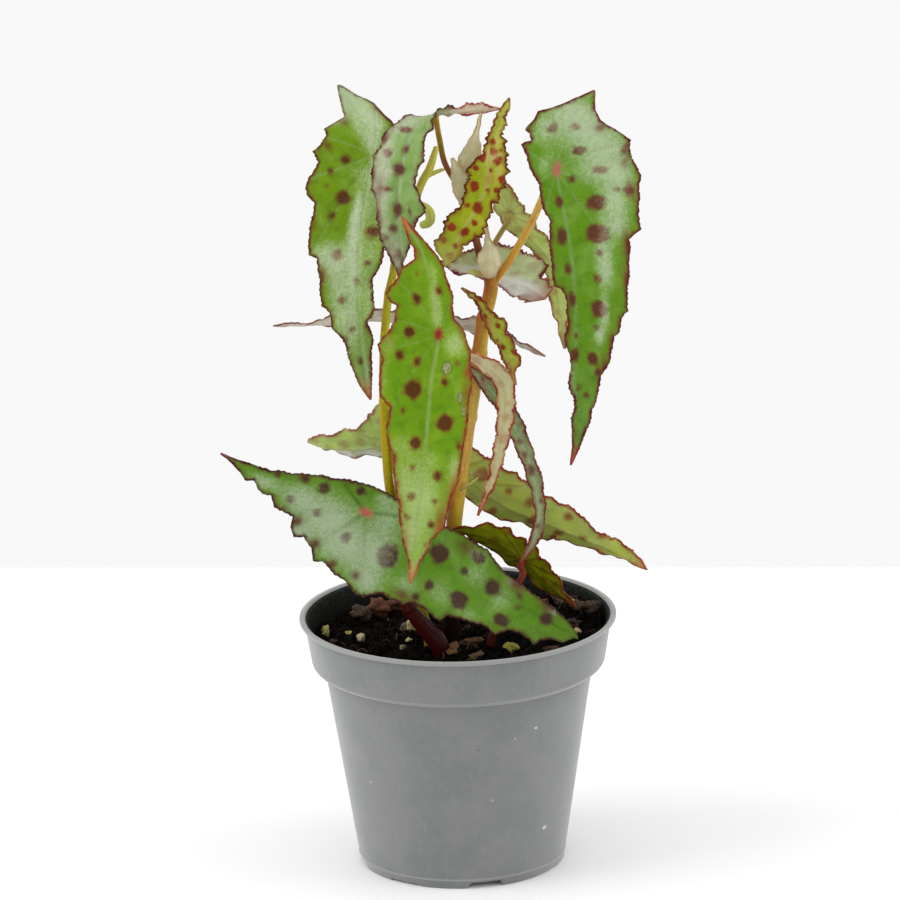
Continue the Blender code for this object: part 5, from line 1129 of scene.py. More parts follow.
def sheet_faces(grid, half, rim_out):
    """Points and quads of a thin closed sheet with a rounded rim, and each quad's face of the leaf."""
    rows, columns = grid.shape[:2]
    along = np.gradient(grid, axis=0)
    across = np.gradient(grid, axis=1)
    normals = unit(np.cross(along, across))
    upper = (grid + normals * half).reshape(-1, 3)
    lower = (grid - normals * half).reshape(-1, 3)
    edge = [i * columns for i in range(rows)]
    edge += [(rows - 1) * columns + j for j in range(1, columns)]
    edge += [i * columns + columns - 1 for i in range(rows - 2, -1, -1)]
    edge += [j for j in range(columns - 2, 0, -1)]
    edge = np.array(edge)
    flat_grid, flat_across = grid.reshape(-1, 3), unit(across).reshape(-1, 3)
    pushes = np.where((edge % columns < columns / 2)[:, None], -1.0, 1.0) * flat_across[edge]
    rim = flat_grid[edge] + pushes * rim_out
    count = rows * columns
    i, j = np.meshgrid(np.arange(rows - 1), np.arange(columns - 1), indexing="ij")
    a = (i * columns + j).ravel()
    top = np.stack([a, a + columns, a + columns + 1, a + 1], 1)
    bottom = top[:, ::-1] + count
    here, there = np.arange(len(edge)), np.roll(np.arange(len(edge)), -1)
    rim_top = np.stack([edge[here], here + 2 * count, there + 2 * count, edge[there]], 1)
    rim_low = np.stack([here + 2 * count, edge[here] + count, edge[there] + count, there + 2 * count], 1)
    points = np.concatenate([upper, lower, rim])
    faces = np.concatenate([top, bottom, rim_top, rim_low])
    slots = np.repeat([0, 1, 0, 1], [len(top), len(bottom), len(edge), len(edge)])
    return points, faces, slots, edge


def make_leaf(name, seed):
    """One leaf as a closed toothed blade with its own two finishes."""
    wide = max(row[3] + row[4] for row in LEAVES[name]["stations"])
    grid, flat, toe = leaf_surface(name, seed, WIDE_COLUMNS if wide > WIDE_LEAF else SLIM_COLUMNS)
    points, faces, slots, edge = sheet_faces(grid, LEAF_HALF, RIM_OUT)
    rim = rim_distance(flat)
    u, v = flat[..., 0], flat[..., 1]
    table = np.stack([u, v, rim], 2).reshape(-1, 3)
    spots = spot_list(name, table, seed)
    notches = rim_flush(name, seed, flat)
    size = YOUNG_SPOT_SIZE if frame_slots[name] == "young_leaf" else SPOT_SIZE
    # the zones of painted sheen over the real bloom
    bloom_and_sheen = soft_zones(u, v, SHEEN.get(name, []))
    flush = np.maximum(soft_zones(u, v, FLUSH.get(name, [])), notches)
    marks = np.stack([nearest_spot(u, v, spots, size), bloom_and_sheen, flush], 2).reshape(-1, 3)
    place = np.concatenate([table, table, table[edge]])
    marks = np.concatenate([marks, marks, marks[edge]])
    finishes = [leaf_finish(name, toe, False), leaf_finish(name, toe, True)]
    leaf = mesh_piece(name + "_blade", points, faces, finishes, slots, {"place": place, "marks": marks})
    finish_piece(leaf, frame_slots[name], name)
    return len(spots)


def rim_flush(name, seed, flat):
    """A light red flush at each tooth's notch, for every leaf."""
    draw = random.Random(900 + seed)
    zones = []
    rows = len(flat)
    for column in (0, -1):
        place = 0.04
        while place < 0.96:
            u, v = flat[int(place * rows), column]
            zones.append((u, v, draw.uniform(1.2, 2.6), draw.uniform(0.8, 1.6), draw.uniform(0.25, 0.75)))
            place += draw.uniform(0.05, 0.11)
    return soft_zones(flat[..., 0], flat[..., 1], zones)


spot_counts = {leaf_name: make_leaf(leaf_name, seed) for seed, leaf_name in enumerate(LEAVES)}
print("spots", spot_counts)


# %% [markdown]
# ## Canes and stalks
# Two canes rise from the peat: a thick golden-brown one and a thin yellow-green one. Leaf stalks grow
# from their joints, and two dark red stalks come straight from the soil. Each is a tube swept along a
# smooth curve, because its thickness and colour change along the way. A ring is never turned more
# than the curve turns, so the tube doesn't twist.

# %% Stem tables
STEM_FOOT = 60.0       # how far down the stems stand in the soil
STALKS = {
    "leaf_top_left": ("cane_left", 1.0, [(-21.5, -9, 234), (-20.5, -4, 252), (-25, -1, 271)]),
    "leaf_arched": ("cane_right", 1.1, [(5, -3, 262), (-1.2, -3, 273), (-3.2, -3.5, 283)]),
    "leaf_young": ("cane_right", 0.8, [(6.5, -3, 254), (11, -4, 261), (14.5, -8, 267.5)]),
    "leaf_right": ("cane_right", 1.4, [(15, 0, 225), (22, -1, 235), (30, -4, 249.5), (36, -8, 264)]),
    "leaf_front": ("cane_left", 1.3, [(-19, -9, 120), (-21.5, -11.5, 150), (-22.5, -12, 178),
                                      (-17, -24, 203), (-8, -36, 215)]),
    "leaf_low_right": ("cane_right", 1.4, [(-1, -5, 122), (1, 1, 140), (1, 6, 149)]),
    "leaf_mid_left": ("cane_left", 1.1, [(-22.5, -9.5, 136), (-20, -3, 150), (-18.5, 5, 158)]),
    "leaf_top_back": ("cane_right", 1.0, [(12, -1.5, 235), (16, 2.5, 240), (19.5, 6.5, 244.5)]),
    "leaf_mid_right": ("cane_right", 1.1, [(12.5, -1, 214), (13.5, 4, 218), (14.5, 8, 222)]),
    "leaf_small_upright": ("cane_right", 0.8, [(12, -1, 210), (13.5, -8, 211), (16, -15, 213)]),
    "leaf_pale_drooping": ("cane_right", 0.9, [(9.5, -2, 196), (3.5, -6, 202), (-1, -11, 205.5)]),
    "leaf_curved_drooping": ("cane_right", 0.9, [(8.5, -2, 186), (11, -1, 187), (12, -2.5, 188)]),
    "leaf_level_back": ("cane_right", 1.2, [(9.5, -2, 196), (4, 6, 199), (-6, 11, 203)]),
    "leaf_low_left": ("stalk_low_left", 2.2, [(-18, -17, 104), (-28, -19, 124), (-33, -20, 138)]),
    "leaf_low_dark": ("stalk_low_right", 1.2, [(15, -13, 96), (21, -12, 108), (25, -10, 115)]),
}
STEMS = {
    "cane_right": dict(
        points=[(-2.5, -5.5, STEM_FOOT, 3.2), (-2.5, -5.5, 90, 3.2), (-2.2, -5.3, 100, 3.1),
                (-0.5, -5, 135, 3.0), (5.5, -3, 174, 2.9), (9, -2, 193, 2.8), (12, -1, 212, 2.7),
                (15, 0, 226, 2.6), (11, -2, 238, 1.6), (9, -3, 247, 1.4), (5, -3, 263, 1.1)],
        shoots=[[(12.5, -1.5, 230, 0.9), (9, -5, 231.5, 1.2), (7, -7.5, 233, 0.6)],
                [(1, -6, 147, 0.8), (6, -10, 151, 0.4), (8.5, -11, 153.5, 0.3)]]),
    "cane_left": dict(
        points=[(-11, -7, STEM_FOOT, 2.2), (-11, -7, 80, 2.2), (-11.5, -7, 92, 2.1), (-19, -8.5, 121, 1.9),
                (-24.5, -9, 149, 1.8), (-26, -9, 184, 1.7), (-25, -9, 211, 1.6), (-21.5, -9, 233, 1.5),
                (-11.5, -8, 264, 1.5), (-7, -8, 273, 1.5), (-4.5, -8.5, 281, 1.0)],
        shoots=[[(-8, -8, 270, 0.9), (-4, -7, 271.5, 0.8), (-1.8, -6.5, 272, 0.5)],
                [(-14, -8.5, 256, 0.9), (-10.5, -13, 260, 1.5), (-7.5, -15, 258, 1.8),
                 (-7.5, -15.5, 254.5, 1.8), (-10.5, -15, 253, 1.4)]]),
    "stalk_low_left": dict(
        points=[(-6.5, -17, STEM_FOOT, 4.0), (-6.5, -17, 80, 4.0), (-7.5, -17, 90, 3.8),
                (-12, -16.5, 96, 3.4), (-18, -17, 104, 2.6)],
        shoots=[]),
    "stalk_low_right": dict(
        points=[(12, -13, STEM_FOOT, 1.7), (12, -13, 80, 1.7), (12.4, -13, 90, 1.6), (15, -13, 96, 1.3)],
        shoots=[]),
}
print("stems", len(STEMS), "leaf stalks", len(STALKS))


# %% [markdown]
# ## Colours along the stems
# A real cane is not one colour: it goes from olive through gold to red-brown, browner at each joint.
# Colour stops along the tube are stored as a point attribute. The finish adds fine streaks along the
# stem and small pale pores, using the distance round and along the tube.

# %% Stem colours and finish
STEM_STOPS = {
    # the right cane's foot above the peat is painted near-black: painted shade under the low leaves over its
    # dark red-brown
    "cane_right": [(0.0, (24, 12, 8)), (0.2, (34, 18, 12)), (0.27, (130, 112, 8)), (0.33, (176, 160, 24)),
                   (0.42, (198, 164, 56)), (0.5, (206, 162, 76)), (0.58, (212, 180, 84)),
                   (0.7, (206, 172, 70)), (0.78, (200, 156, 62)), (0.84, (166, 106, 36)),
                   (0.87, (120, 60, 22)), (0.9, (150, 92, 66)), (1.0, (170, 116, 80))],
    "cane_left": [(0.0, (120, 110, 20)), (0.25, (172, 164, 20)), (0.55, (186, 178, 16)),
                  (0.8, (192, 192, 50)), (1.0, (206, 206, 90))],
    "stalk_low_left": [(0.0, (40, 8, 6)), (0.6, (58, 10, 8)), (1.0, (76, 16, 12))],
    "stalk_low_right": [(0.0, (60, 14, 8)), (1.0, (96, 34, 20))],
    "leaf_top_left": [(0.0, (168, 160, 50)), (1.0, (176, 170, 90))],
    "leaf_arched": [(0.0, (150, 92, 66)), (0.4, (140, 84, 50)), (0.6, (140, 112, 20)),
                    (1.0, (166, 140, 24))],
    "leaf_young": [(0.0, (150, 110, 60)), (1.0, (170, 150, 60))],
    "leaf_right": [(0.0, (190, 124, 36)), (0.3, (228, 174, 66)), (1.0, (234, 196, 116))],
    "leaf_front": [(0.0, (136, 90, 46)), (0.4, (150, 100, 50)), (1.0, (150, 70, 50))],
    "leaf_low_right": [(0.0, (140, 104, 50)), (1.0, (160, 90, 60))],
    "leaf_mid_left": [(0.0, (156, 146, 60)), (1.0, (170, 150, 100))],
    "leaf_top_back": [(0.0, (150, 110, 50)), (1.0, (170, 160, 80))],
    "leaf_mid_right": [(0.0, (160, 120, 60)), (1.0, (176, 170, 120))],
    "leaf_small_upright": [(0.0, (160, 110, 60)), (1.0, (170, 150, 70))],
    "leaf_pale_drooping": [(0.0, (170, 120, 70)), (1.0, (190, 150, 110))],
    "leaf_curved_drooping": [(0.0, (160, 110, 60)), (1.0, (150, 80, 60))],
    "leaf_level_back": [(0.0, (150, 120, 60)), (1.0, (160, 110, 80))],
    "leaf_low_left": [(0.0, (70, 12, 10)), (0.5, (110, 26, 22)), (1.0, (150, 60, 50))],
    "leaf_low_dark": [(0.0, (110, 36, 22)), (1.0, (140, 50, 36))],
}
# the canes' left sides turn redder and darker: a real red blush and painted shade
STEM_BLUSH_AND_SHADE = {"cane_right": (0.62, 0.3, 0.25), "cane_left": (0.8, 0.62, 0.5)}
JOINTS = {                 # places of the swollen joints along a cane, as shares of its length
    "cane_right": (0.22, 0.31, 0.44, 0.56, 0.68, 0.745, 0.83),
    "cane_left": (0.18, 0.3, 0.55, 0.74, 0.88),
}


def stem_finish():
    """Smooth, slightly waxy bark whose colour comes from the tube's own colour stops."""
    bark = Recipe("stem skin", 0.4)
    course = bark.attribute("course")
    streaks = bark.noise(bark.vector("MULTIPLY", course, (1.6, 0.12, 1.0)), 1.0, 4)
    blotches = bark.noise(course, 0.25, 2)
    pores = bark.cells(bark.vector("MULTIPLY", course, (1.0, 0.45, 1.0)), 0.6)
    colour = bark.attribute("tint", "Color")
    colour = bark.mix(bark.step(streaks, 0.5, 0.75, 0.0, 0.4), colour, bark.dyed(colour, (1.6, 1.5, 1.3)))
    colour = bark.mix(bark.step(streaks, 0.5, 0.25, 0.0, 0.35), colour, bark.dyed(colour, (0.5, 0.4, 0.34)))
    colour = bark.mix(bark.step(blotches, 0.5, 0.75, 0.0, 0.4), colour, bark.dyed(colour, (0.8, 0.42, 0.4)))
    colour = bark.mix(bark.step(pores, 0.22, 0.1, 0.0, 0.5), colour, bark.dyed(colour, (1.9, 1.9, 1.9)))
    bark.shader.inputs["Specular IOR Level"].default_value = 0.14
    bark.feed(bark.shader.inputs["Base Color"], colour)
    bark.feed(bark.shader.inputs["Roughness"], bark.step(blotches, 0.2, 0.8, 0.32, 0.5))
    bark.shader.inputs["Subsurface Weight"].default_value = 0.15
    bark.shader.inputs["Subsurface Scale"].default_value = 0.6 * MM
    bark.bump(bark.maths("SUBTRACT", streaks, bark.step(pores, 0.22, 0.1, 0.0, 0.5)), 0.15)
    return bark.material


def stops_at(stops, share):
    """Linear colours between colour stops."""
    places = [place for place, _ in stops]
    colours = np.array([paint(*colour) for _, colour in stops])
    return np.stack([np.interp(share, places, colours[:, k]) for k in range(4)], 1)


stem_skin = stem_finish()
print("colour stops", sum(len(stops) for stops in STEM_STOPS.values()))


# %% [markdown]
# ## Sweeping the tubes
# `tube_parts` places rings along the curve, and `carried_sides` carries their side direction
# forward. Both ends are rounded and closed. `hub_seat` finds where a stalk meets the underside of
# its leaf: the same sum as for the leaf's own surface, so the two always meet.

# %% Stem meshes
RING_STEP = 0.9
FEWEST_RINGS = 6
FIRST_SIDE = (1, 0.3, 0.1)
RIDGES = 0.03          # three faint ridges run along a stem
JOINT_SWELL, JOINT_REACH = 0.16, 1.6
FLARE_REACH = 2.2      # a stalk is thicker this near its foot
CAP_SHRINK, CAP_RISE, TIP_RISE = 0.75, 0.3, 0.4    # an end's rounding, as shares of its radius
SHOOT_TIP = (190, 198, 100)
STEM_SIDES, STALK_SIDES, SHOOT_SIDES = 20, 14, 12
STALK_FLARE = 0.35
SEAT_ROOM = 0.85       # the stalk's top lies this far under the middle of the leaf
HEEL_GAP = 0.35        # room before a leaf whose stalk meets its very heel
STEM_SLOTS = {"cane_right": "brown_cane", "cane_left": "green_cane",
              "stalk_low_left": "red_stalk", "stalk_low_right": "red_stalk"}


def even_rows(rows):
    """Rows at even steps along the curve, the way it runs, their shares of its length, the length."""
    fine_places = np.linspace(0, len(rows) - 1, 40 * (len(rows) - 1) + 1)
    fine_points = curve_at(rows, fine_places)[:, :3]
    lengths = np.concatenate([[0], np.cumsum(np.linalg.norm(np.diff(fine_points, axis=0), axis=1))])
    share = np.linspace(0, 1, max(FEWEST_RINGS, int(lengths[-1] / RING_STEP)) + 1)
    place = np.interp(share * lengths[-1], lengths, fine_places)
    along = unit(curve_at(rows, place + 0.05)[:, :3] - curve_at(rows, place - 0.05)[:, :3])
    return curve_at(rows, place), along, share, lengths[-1]


def carried_sides(along):
    """A side direction for each ring, carried along the tube without a twist."""
    sides = np.zeros_like(along)
    last = np.array(FIRST_SIDE)
    for k, forward in enumerate(along):
        last = last - forward * last.dot(forward)
        last = last / np.linalg.norm(last)
        sides[k] = last
    return sides


def tube_rings(row, along, radius, angle, ridge_shape):
    """The rings with a smaller one as a cap at each end, and the two tips."""
    side = carried_sides(along)
    other = np.cross(along, side)
    middle = row[:, None, :3]
    shape = ridge_shape * radius[:, None]
    rings = middle + (side[:, None] * np.cos(angle)[None, :, None]
                      + other[:, None] * np.sin(angle)[None, :, None]) * shape[..., None]
    caps, tips = [], []
    for end, way in ((0, -1), (-1, 1)):
        out = way * along[end] * radius[end]
        caps.append(middle[end] + out * CAP_RISE + (rings[end] - middle[end]) * CAP_SHRINK)
        tips.append(row[end, :3] + out * TIP_RISE)
    return np.concatenate([caps[:1], rings, caps[1:]]), tips


def tube_faces(count, sides):
    """Quads between the rings, and a fan of triangles from each tip."""
    faces = []
    for k in range(count - 1):
        for n in range(sides):
            a, b = k * sides + n, k * sides + (n + 1) % sides
            faces.append((a, b, b + sides, a + sides))
    low, last_ring = count * sides, (count - 1) * sides
    for n in range(sides):
        m = (n + 1) % sides
        faces.append((low, m, n))
        faces.append((low + 1, last_ring + n, last_ring + m))
    return faces


def blushed_and_shaded(tint, rings, blush):
    """Colours that turn redder and darker on the tube's left side: the cane's red blush with painted shade.
    """
    outward = (rings - rings.mean(1, keepdims=True)).reshape(-1, 3)
    shaded_left_side = np.clip(0.3 - unit(outward)[:, :1], 0, 1)
    tint[:, :3] *= 1 - shaded_left_side * (1 - np.array(blush))
    return tint


def tube_parts(points, stops, sides, joints=(), flare=0.0, blush=None):
    """Points, faces, courses and colours of a closed tube through points that carry a radius."""
    row, along, share, length = even_rows(np.array(points, float))
    radius = row[:, 3].copy()
    for joint in joints:
        radius *= 1 + JOINT_SWELL * np.exp(-((share - joint) * length / JOINT_REACH) ** 2)
    radius *= 1 + flare * np.exp(-(share * length / FLARE_REACH) ** 2)
    angle = 2 * np.pi * np.arange(sides) / sides
    ridge_shape = 1 + RIDGES * np.sin(3 * angle)[None] * np.sin(share * length * 0.35)[:, None]
    rings, tips = tube_rings(row, along, radius, angle, ridge_shape)
    long_share = np.concatenate([[0], share, [1]])
    around = np.repeat((np.abs(angle - np.pi) * radius.mean())[None], len(rings), 0)
    onward = np.repeat((long_share * length)[:, None], sides, 1)
    course = np.stack([around, onward, np.zeros(around.shape)], 2).reshape(-1, 3)
    tint = np.repeat(stops_at(stops, long_share), sides, 0)
    if blush:
        tint = blushed_and_shaded(tint, rings, blush)
    points = np.concatenate([rings.reshape(-1, 3), tips])
    ends = [0, -1]
    return (points, tube_faces(len(rings), sides), np.concatenate([course, course[ends]]),
            np.concatenate([tint, tint[ends]]))


def join_tubes(parts):
    """Several tubes as one mesh's points, faces, courses and colours."""
    faces, start = [], 0
    for points, part_faces, _, _ in parts:
        faces += [tuple(corner + start for corner in face) for face in part_faces]
        start += len(points)
    points, courses, tints = (np.concatenate([part[k] for part in parts]) for k in (0, 2, 3))
    return points, faces, courses, tints


def blade_point(blade, leaf, share, side, q):
    """A point of the plain blade at q of its half-width."""
    rib, _, left, up, wide_left, wide_right = (part[0] for part in blade.frame(np.array([share])))
    out = q * max(wide_left if side > 0 else wide_right, 0.3)
    lift = math.radians(leaf["lift"])
    ripple = leaf["wave"] * q * q * math.sin(2 * math.pi * (leaf["waves"] * share + 0.23 * side))
    height = out * math.sin(lift) + ripple * min(1, 8 * share, 8 * (1 - share))
    return rib + left * side * out * math.cos(lift) + up * height


def hub_seat(name):
    """Where a stalk ends under its leaf, and the way it points there."""
    leaf = LEAVES[name]
    blade = Blade(leaf["stations"], leaf["faces"])
    share = blade.share_of(leaf["hub"][0])
    rib, along, _, _, wide_left, wide_right = (part[0] for part in blade.frame(np.array([share])))
    if share == 0.0:
        return rib - along * HEEL_GAP, along
    offset = leaf["hub"][1]
    side = 1 if offset >= 0 else -1
    q = abs(offset) / (wide_left if side > 0 else wide_right)
    seat = blade_point(blade, leaf, share, side, q)
    across = blade_point(blade, leaf, share, side, q + 0.1) - seat
    ahead_here = blade_point(blade, leaf, share + 0.01, side, q) - seat
    up = unit(np.cross(across, ahead_here) * side)
    return seat - up * SEAT_ROOM, up


def stalk_points(name):
    """The points of a leaf's stalk, ending square under the leaf's hub."""
    _, radius, way = STALKS[name]
    seat, up = hub_seat(name)
    points = [(*p, radius) for p in way]
    points.append((*(seat - up * 3.0 * radius), radius))
    points.append((*(seat - up * (1.0 + 0.5 * radius)), radius * 1.2))
    points.append((*(seat - up * 0.5 * radius), radius * 1.35))
    return points


def make_stem(name):
    """A cane or a stalk from the soil with everything that grows on it, as one piece."""
    stops = STEM_STOPS[name]
    parts = [tube_parts(STEMS[name]["points"], stops, STEM_SIDES, JOINTS.get(name, ()),
                        blush=STEM_BLUSH_AND_SHADE.get(name))]
    for shoot in STEMS[name]["shoots"]:
        parts.append(tube_parts(shoot, [(0, stops[-1][1]), (1, SHOOT_TIP)], SHOOT_SIDES))
    for leaf_name, (carrier, _, _) in STALKS.items():
        if carrier == name:
            parts.append(tube_parts(stalk_points(leaf_name), STEM_STOPS[leaf_name], STALK_SIDES,
                                    flare=STALK_FLARE))
    points, faces, courses, tints = join_tubes(parts)
    thing = mesh_piece(name + "_skin", points, faces, [stem_skin], None, {"course": courses}, {"tint": tints})
    return finish_piece(thing, STEM_SLOTS[name], name)


for stem_name in STEMS:
    make_stem(stem_name)
print("stem pieces", [made for made in pieces_made if made[0].endswith("_skin")])


# %% [markdown]
# ## Stipules
# Where a new leaf grows, the plant leaves behind a pair of papery stipules, pale beige and thin as
# tissue. They use the same blade as a leaf without teeth, folded the other way round the stem. Fine
# nerves run along them and light shines through.

# %% Stipules
STIPULES = {
    "stipule_top": dict(
        stations=[(6.5, -5.2, 266, 3, 3), (7.8, -7, 274.5, 4.8, 4.4), (9.4, -7, 281, 3, 2.8),
                  (10.6, -6.3, 286, 1.2, 1.2), (12.5, -5, 293, 0.4, 0.4)],
        faces=[(0.1, -1, 0.2), (0.2, -1, 0.1)]),
    "stipule_tip": dict(
        stations=[(7.6, -5.3, 256, 2.5, 2.5), (4.5, -8.6, 266, 4, 3.5), (1.5, -8.8, 277, 0.5, 0.5)],
        faces=[(0, -1, 0.2), (0, -1, 0.2)]),
    "stipule_node": dict(
        stations=[(14, -5.6, 229.5, 2.4, 2.4), (14.2, -7.9, 235, 4.4, 4.4), (14.3, -7.9, 240, 4.2, 3.8),
                  (14, -7.2, 243.5, 1.8, 1.4), (13.5, -5.9, 250, 0.4, 0.4)],
        faces=[(0, -1, 0.2), (0, -1, 0.1)]),
}
PAPER_LIFT = math.radians(-14)
PAPER_ROWS, PAPER_COLUMNS = 60, 9
PAPER_HALF, PAPER_RIM = 0.15, 0.05     # half of the thickness and the rim's rounding in mm
TORN_DEPTH, CRUMPLE = 0.25, 0.35


def stipule_finish():
    """Dry, pale, slightly wrinkled skin with long nerves."""
    paper = Recipe("papery stipule", 0.62)
    along, across, rim = paper.split(paper.attribute("place"))
    flat = paper.join(along, across, 0.0)
    nerves = paper.noise(paper.vector("MULTIPLY", flat, (0.12, 2.4, 1.0)), 1.0, 3)
    blush = paper.noise(flat, 0.22, 2)
    colour = paper.mix(paper.step(blush, 0.4, 0.65), paint(246, 240, 200), paint(234, 224, 180))
    colour = paper.mix(paper.step(nerves, 0.5, 0.75, 0.0, 0.4), colour, paint(206, 178, 130))
    colour = paper.mix(paper.step(rim, 0.7, 0.1, 0.0, 0.5), colour, paint(206, 150, 110))
    colour = paper.mix(paper.step(along, 5.0, 0.0, 0.0, 0.4), colour, paint(196, 140, 84))
    paper.shader.inputs["Specular IOR Level"].default_value = 0.2
    paper.feed(paper.shader.inputs["Base Color"], colour)
    paper.bump(nerves, 0.3)
    paper.see_through(colour, 0.2)
    return paper.material


def make_stipule(name, seed, skin):
    """One stipule as a thin closed blade with a slightly torn margin."""
    sheath = STIPULES[name]
    blade = Blade(sheath["stations"], sheath["faces"])
    share = np.linspace(0, 1, PAPER_ROWS)
    rib, _, left, up, wide_left, wide_right = blade.frame(share)
    strips, flats = [], []
    columns = blade_columns(PAPER_COLUMNS)
    for side, q_values in ((1, columns[::-1]), (-1, columns[1:])):
        half = np.maximum(wide_left if side > 0 else wide_right, 0.3)
        torn = TORN_DEPTH * np.sin(34 * share + seed + side) * np.sin(13 * share + 2 * seed)
        for q in q_values:
            out = q * half + torn * q ** 6
            crumple = CRUMPLE * np.sin(9 * share + 5 * q * side + seed) * q
            height = out * math.sin(PAPER_LIFT) + crumple
            strips.append(rib + left * (side * out * math.cos(PAPER_LIFT))[:, None] + up * height[:, None])
            flats.append(np.stack([share * blade.total, side * out], 1))
    grid, flat = np.stack(strips, 1), np.stack(flats, 1)
    points, faces, _, edge = sheet_faces(grid, PAPER_HALF, PAPER_RIM)
    table = np.concatenate([flat, rim_distance(flat)[..., None]], 2).reshape(-1, 3)
    place = np.concatenate([table, table, table[edge]])
    thing = mesh_piece(name + "_paper", points, faces, [skin], None, {"place": place})
    return finish_piece(thing, "stipule", name)


paper_skin = stipule_finish()
for seed, stipule_name in enumerate(STIPULES):
    make_stipule(stipule_name, seed, paper_skin)
print("stipules", len(STIPULES))


# %% [markdown]
# ## The pot
# A nursery pot is injection moulded: a rolled lip, a deep rim band, a round shoulder, a tapered body,
# a thin moulding line near the foot and a foot ring with notches, so that water can run out. It is
# turned from one profile. The notches are made by raising the foot's lower edge at their angles, and
# the drain holes are cut with a Boolean modifier that is applied at once.

# %% Pot sizes
POT_HEIGHT = 96.7
RIM_RADIUS = 60.0
LIP_HEIGHT = 1.5
LIP_WIDTH = 1.9
LIP_ROUND = 0.45
BAND_TOP_RADIUS = 58.1
BAND_LOW_RADIUS = 55.7
BAND_DEPTH = 16.4
SHOULDER_DROP = 3.8
SHOULDER_RADIUS = 50.7
BASE_RADIUS = 38.8
POT_WALL = 1.4
BASE_LIFT = 2.5
FOOT_WIDTH = 3.0
PAD_RADIUS = 12.0
POT_SIDES = 216
MOULD_LINE = 3.4                      # height of the thin line above the foot
NOTCHES = {-77: 2.2, -35: 0.4, 10: 1.6, 55: 1.6, 100: 2.2, 145: 1.6, 190: 1.6, 235: 0.8}
NOTCH_WIDTH = 14.0
NOTCH_TOP = BASE_LIFT - 0.1
DRAIN_RADIUS, DRAIN_RING, DRAIN_COUNT, DRAIN_DEPTH = 3.2, 27.0, 6, 15.0
SHARP_ANGLE = math.radians(35)
BAND_LOW = POT_HEIGHT - BAND_DEPTH
SHOULDER = BAND_LOW - SHOULDER_DROP
ROUND_TURNS = [math.radians(angle) for angle in (30, 60, 90)]
INNER_POINTS = 13                     # profile points from the lip's inner edge to the middle


def body_radius(height):
    """The outer radius of the tapered body."""
    return BASE_RADIUS + (SHOULDER_RADIUS - BASE_RADIUS) * height / SHOULDER


def shoulder_curve(inset, lift, steps=8):
    """Points of the round shoulder between the body and the band."""
    turns = [0.5 * math.pi * k / steps for k in range(1, steps + 1)]
    return [(SHOULDER_RADIUS - inset + (BAND_LOW_RADIUS - SHOULDER_RADIUS) * math.sin(t),
             SHOULDER + SHOULDER_DROP * (1 - math.cos(t)) + lift) for t in turns]


def pot_profile():
    """(radius, height) from the middle of the underside over the lip to the middle of the floor."""
    lip_low = POT_HEIGHT - LIP_HEIGHT
    line_radius = body_radius(MOULD_LINE)
    outside = [(0, 0), (PAD_RADIUS, 0), (PAD_RADIUS + 1, BASE_LIFT), (BASE_RADIUS - FOOT_WIDTH, BASE_LIFT),
               (BASE_RADIUS - FOOT_WIDTH, 0), (BASE_RADIUS - 0.3, 0), (BASE_RADIUS, 0.35),
               (line_radius - 0.05, MOULD_LINE - 0.35), (line_radius + 0.22, MOULD_LINE),
               (line_radius + 0.2, MOULD_LINE + 0.5)]
    outside += [(body_radius(h), h) for h in (5, 6, 14, 22, 30, 38, 46, 54, 62, 69, 74, SHOULDER - 0.5)]
    outside += [(body_radius(SHOULDER) + 0.05, SHOULDER - 0.15), (SHOULDER_RADIUS + 0.3, SHOULDER)]
    outside += shoulder_curve(0, 0)
    outside += [(BAND_LOW_RADIUS + (BAND_TOP_RADIUS - BAND_LOW_RADIUS) * k / 5,
                 BAND_LOW + (lip_low - BAND_LOW) * k / 5) for k in range(1, 5)]
    outside += [(BAND_TOP_RADIUS, lip_low), (RIM_RADIUS - LIP_ROUND, lip_low)]
    outside += [(RIM_RADIUS - LIP_ROUND * (1 - math.sin(t)), lip_low + LIP_ROUND * (1 - math.cos(t)))
                for t in ROUND_TURNS]
    outside += [(RIM_RADIUS - LIP_ROUND * (1 - math.cos(t)), POT_HEIGHT - LIP_ROUND * (1 - math.sin(t)))
                for t in ROUND_TURNS]
    inside = [(RIM_RADIUS - LIP_WIDTH + 0.3, POT_HEIGHT), (RIM_RADIUS - LIP_WIDTH, POT_HEIGHT - 0.25),
              (RIM_RADIUS - LIP_WIDTH - 0.4, POT_HEIGHT - 0.7), (BAND_TOP_RADIUS - POT_WALL, lip_low)]
    inside += list(reversed(shoulder_curve(POT_WALL, POT_WALL / 2)))
    inside += [(SHOULDER_RADIUS - POT_WALL, SHOULDER),
               (body_radius(BASE_LIFT) - POT_WALL, BASE_LIFT + POT_WALL), (0, BASE_LIFT + POT_WALL)]
    return outside + inside


def notch_height(angle):
    """How far the foot's lower edge is raised at an angle in degrees."""
    half = math.degrees(0.5 * NOTCH_WIDTH / BASE_RADIUS)
    for middle_angle, depth in NOTCHES.items():
        away = abs((angle - middle_angle + 180) % 360 - 180)
        if away < half:
            return depth * min(1.0, (half - away) / 1.2)
    return 0.0


print("pot profile points", len(pot_profile()))


# %% [markdown]
# ## Grey plastic
# The pot is dull grey polypropylene: a faint mottling from the moulding, hair-thin vertical drag
# lines, a paler lip, a painted highlight and a painted shadow line round the shoulder, some peat dust,
# and a few white scuffs. Each scuff is a small soft blob at its own place in object coordinates,
# broken up by noise.

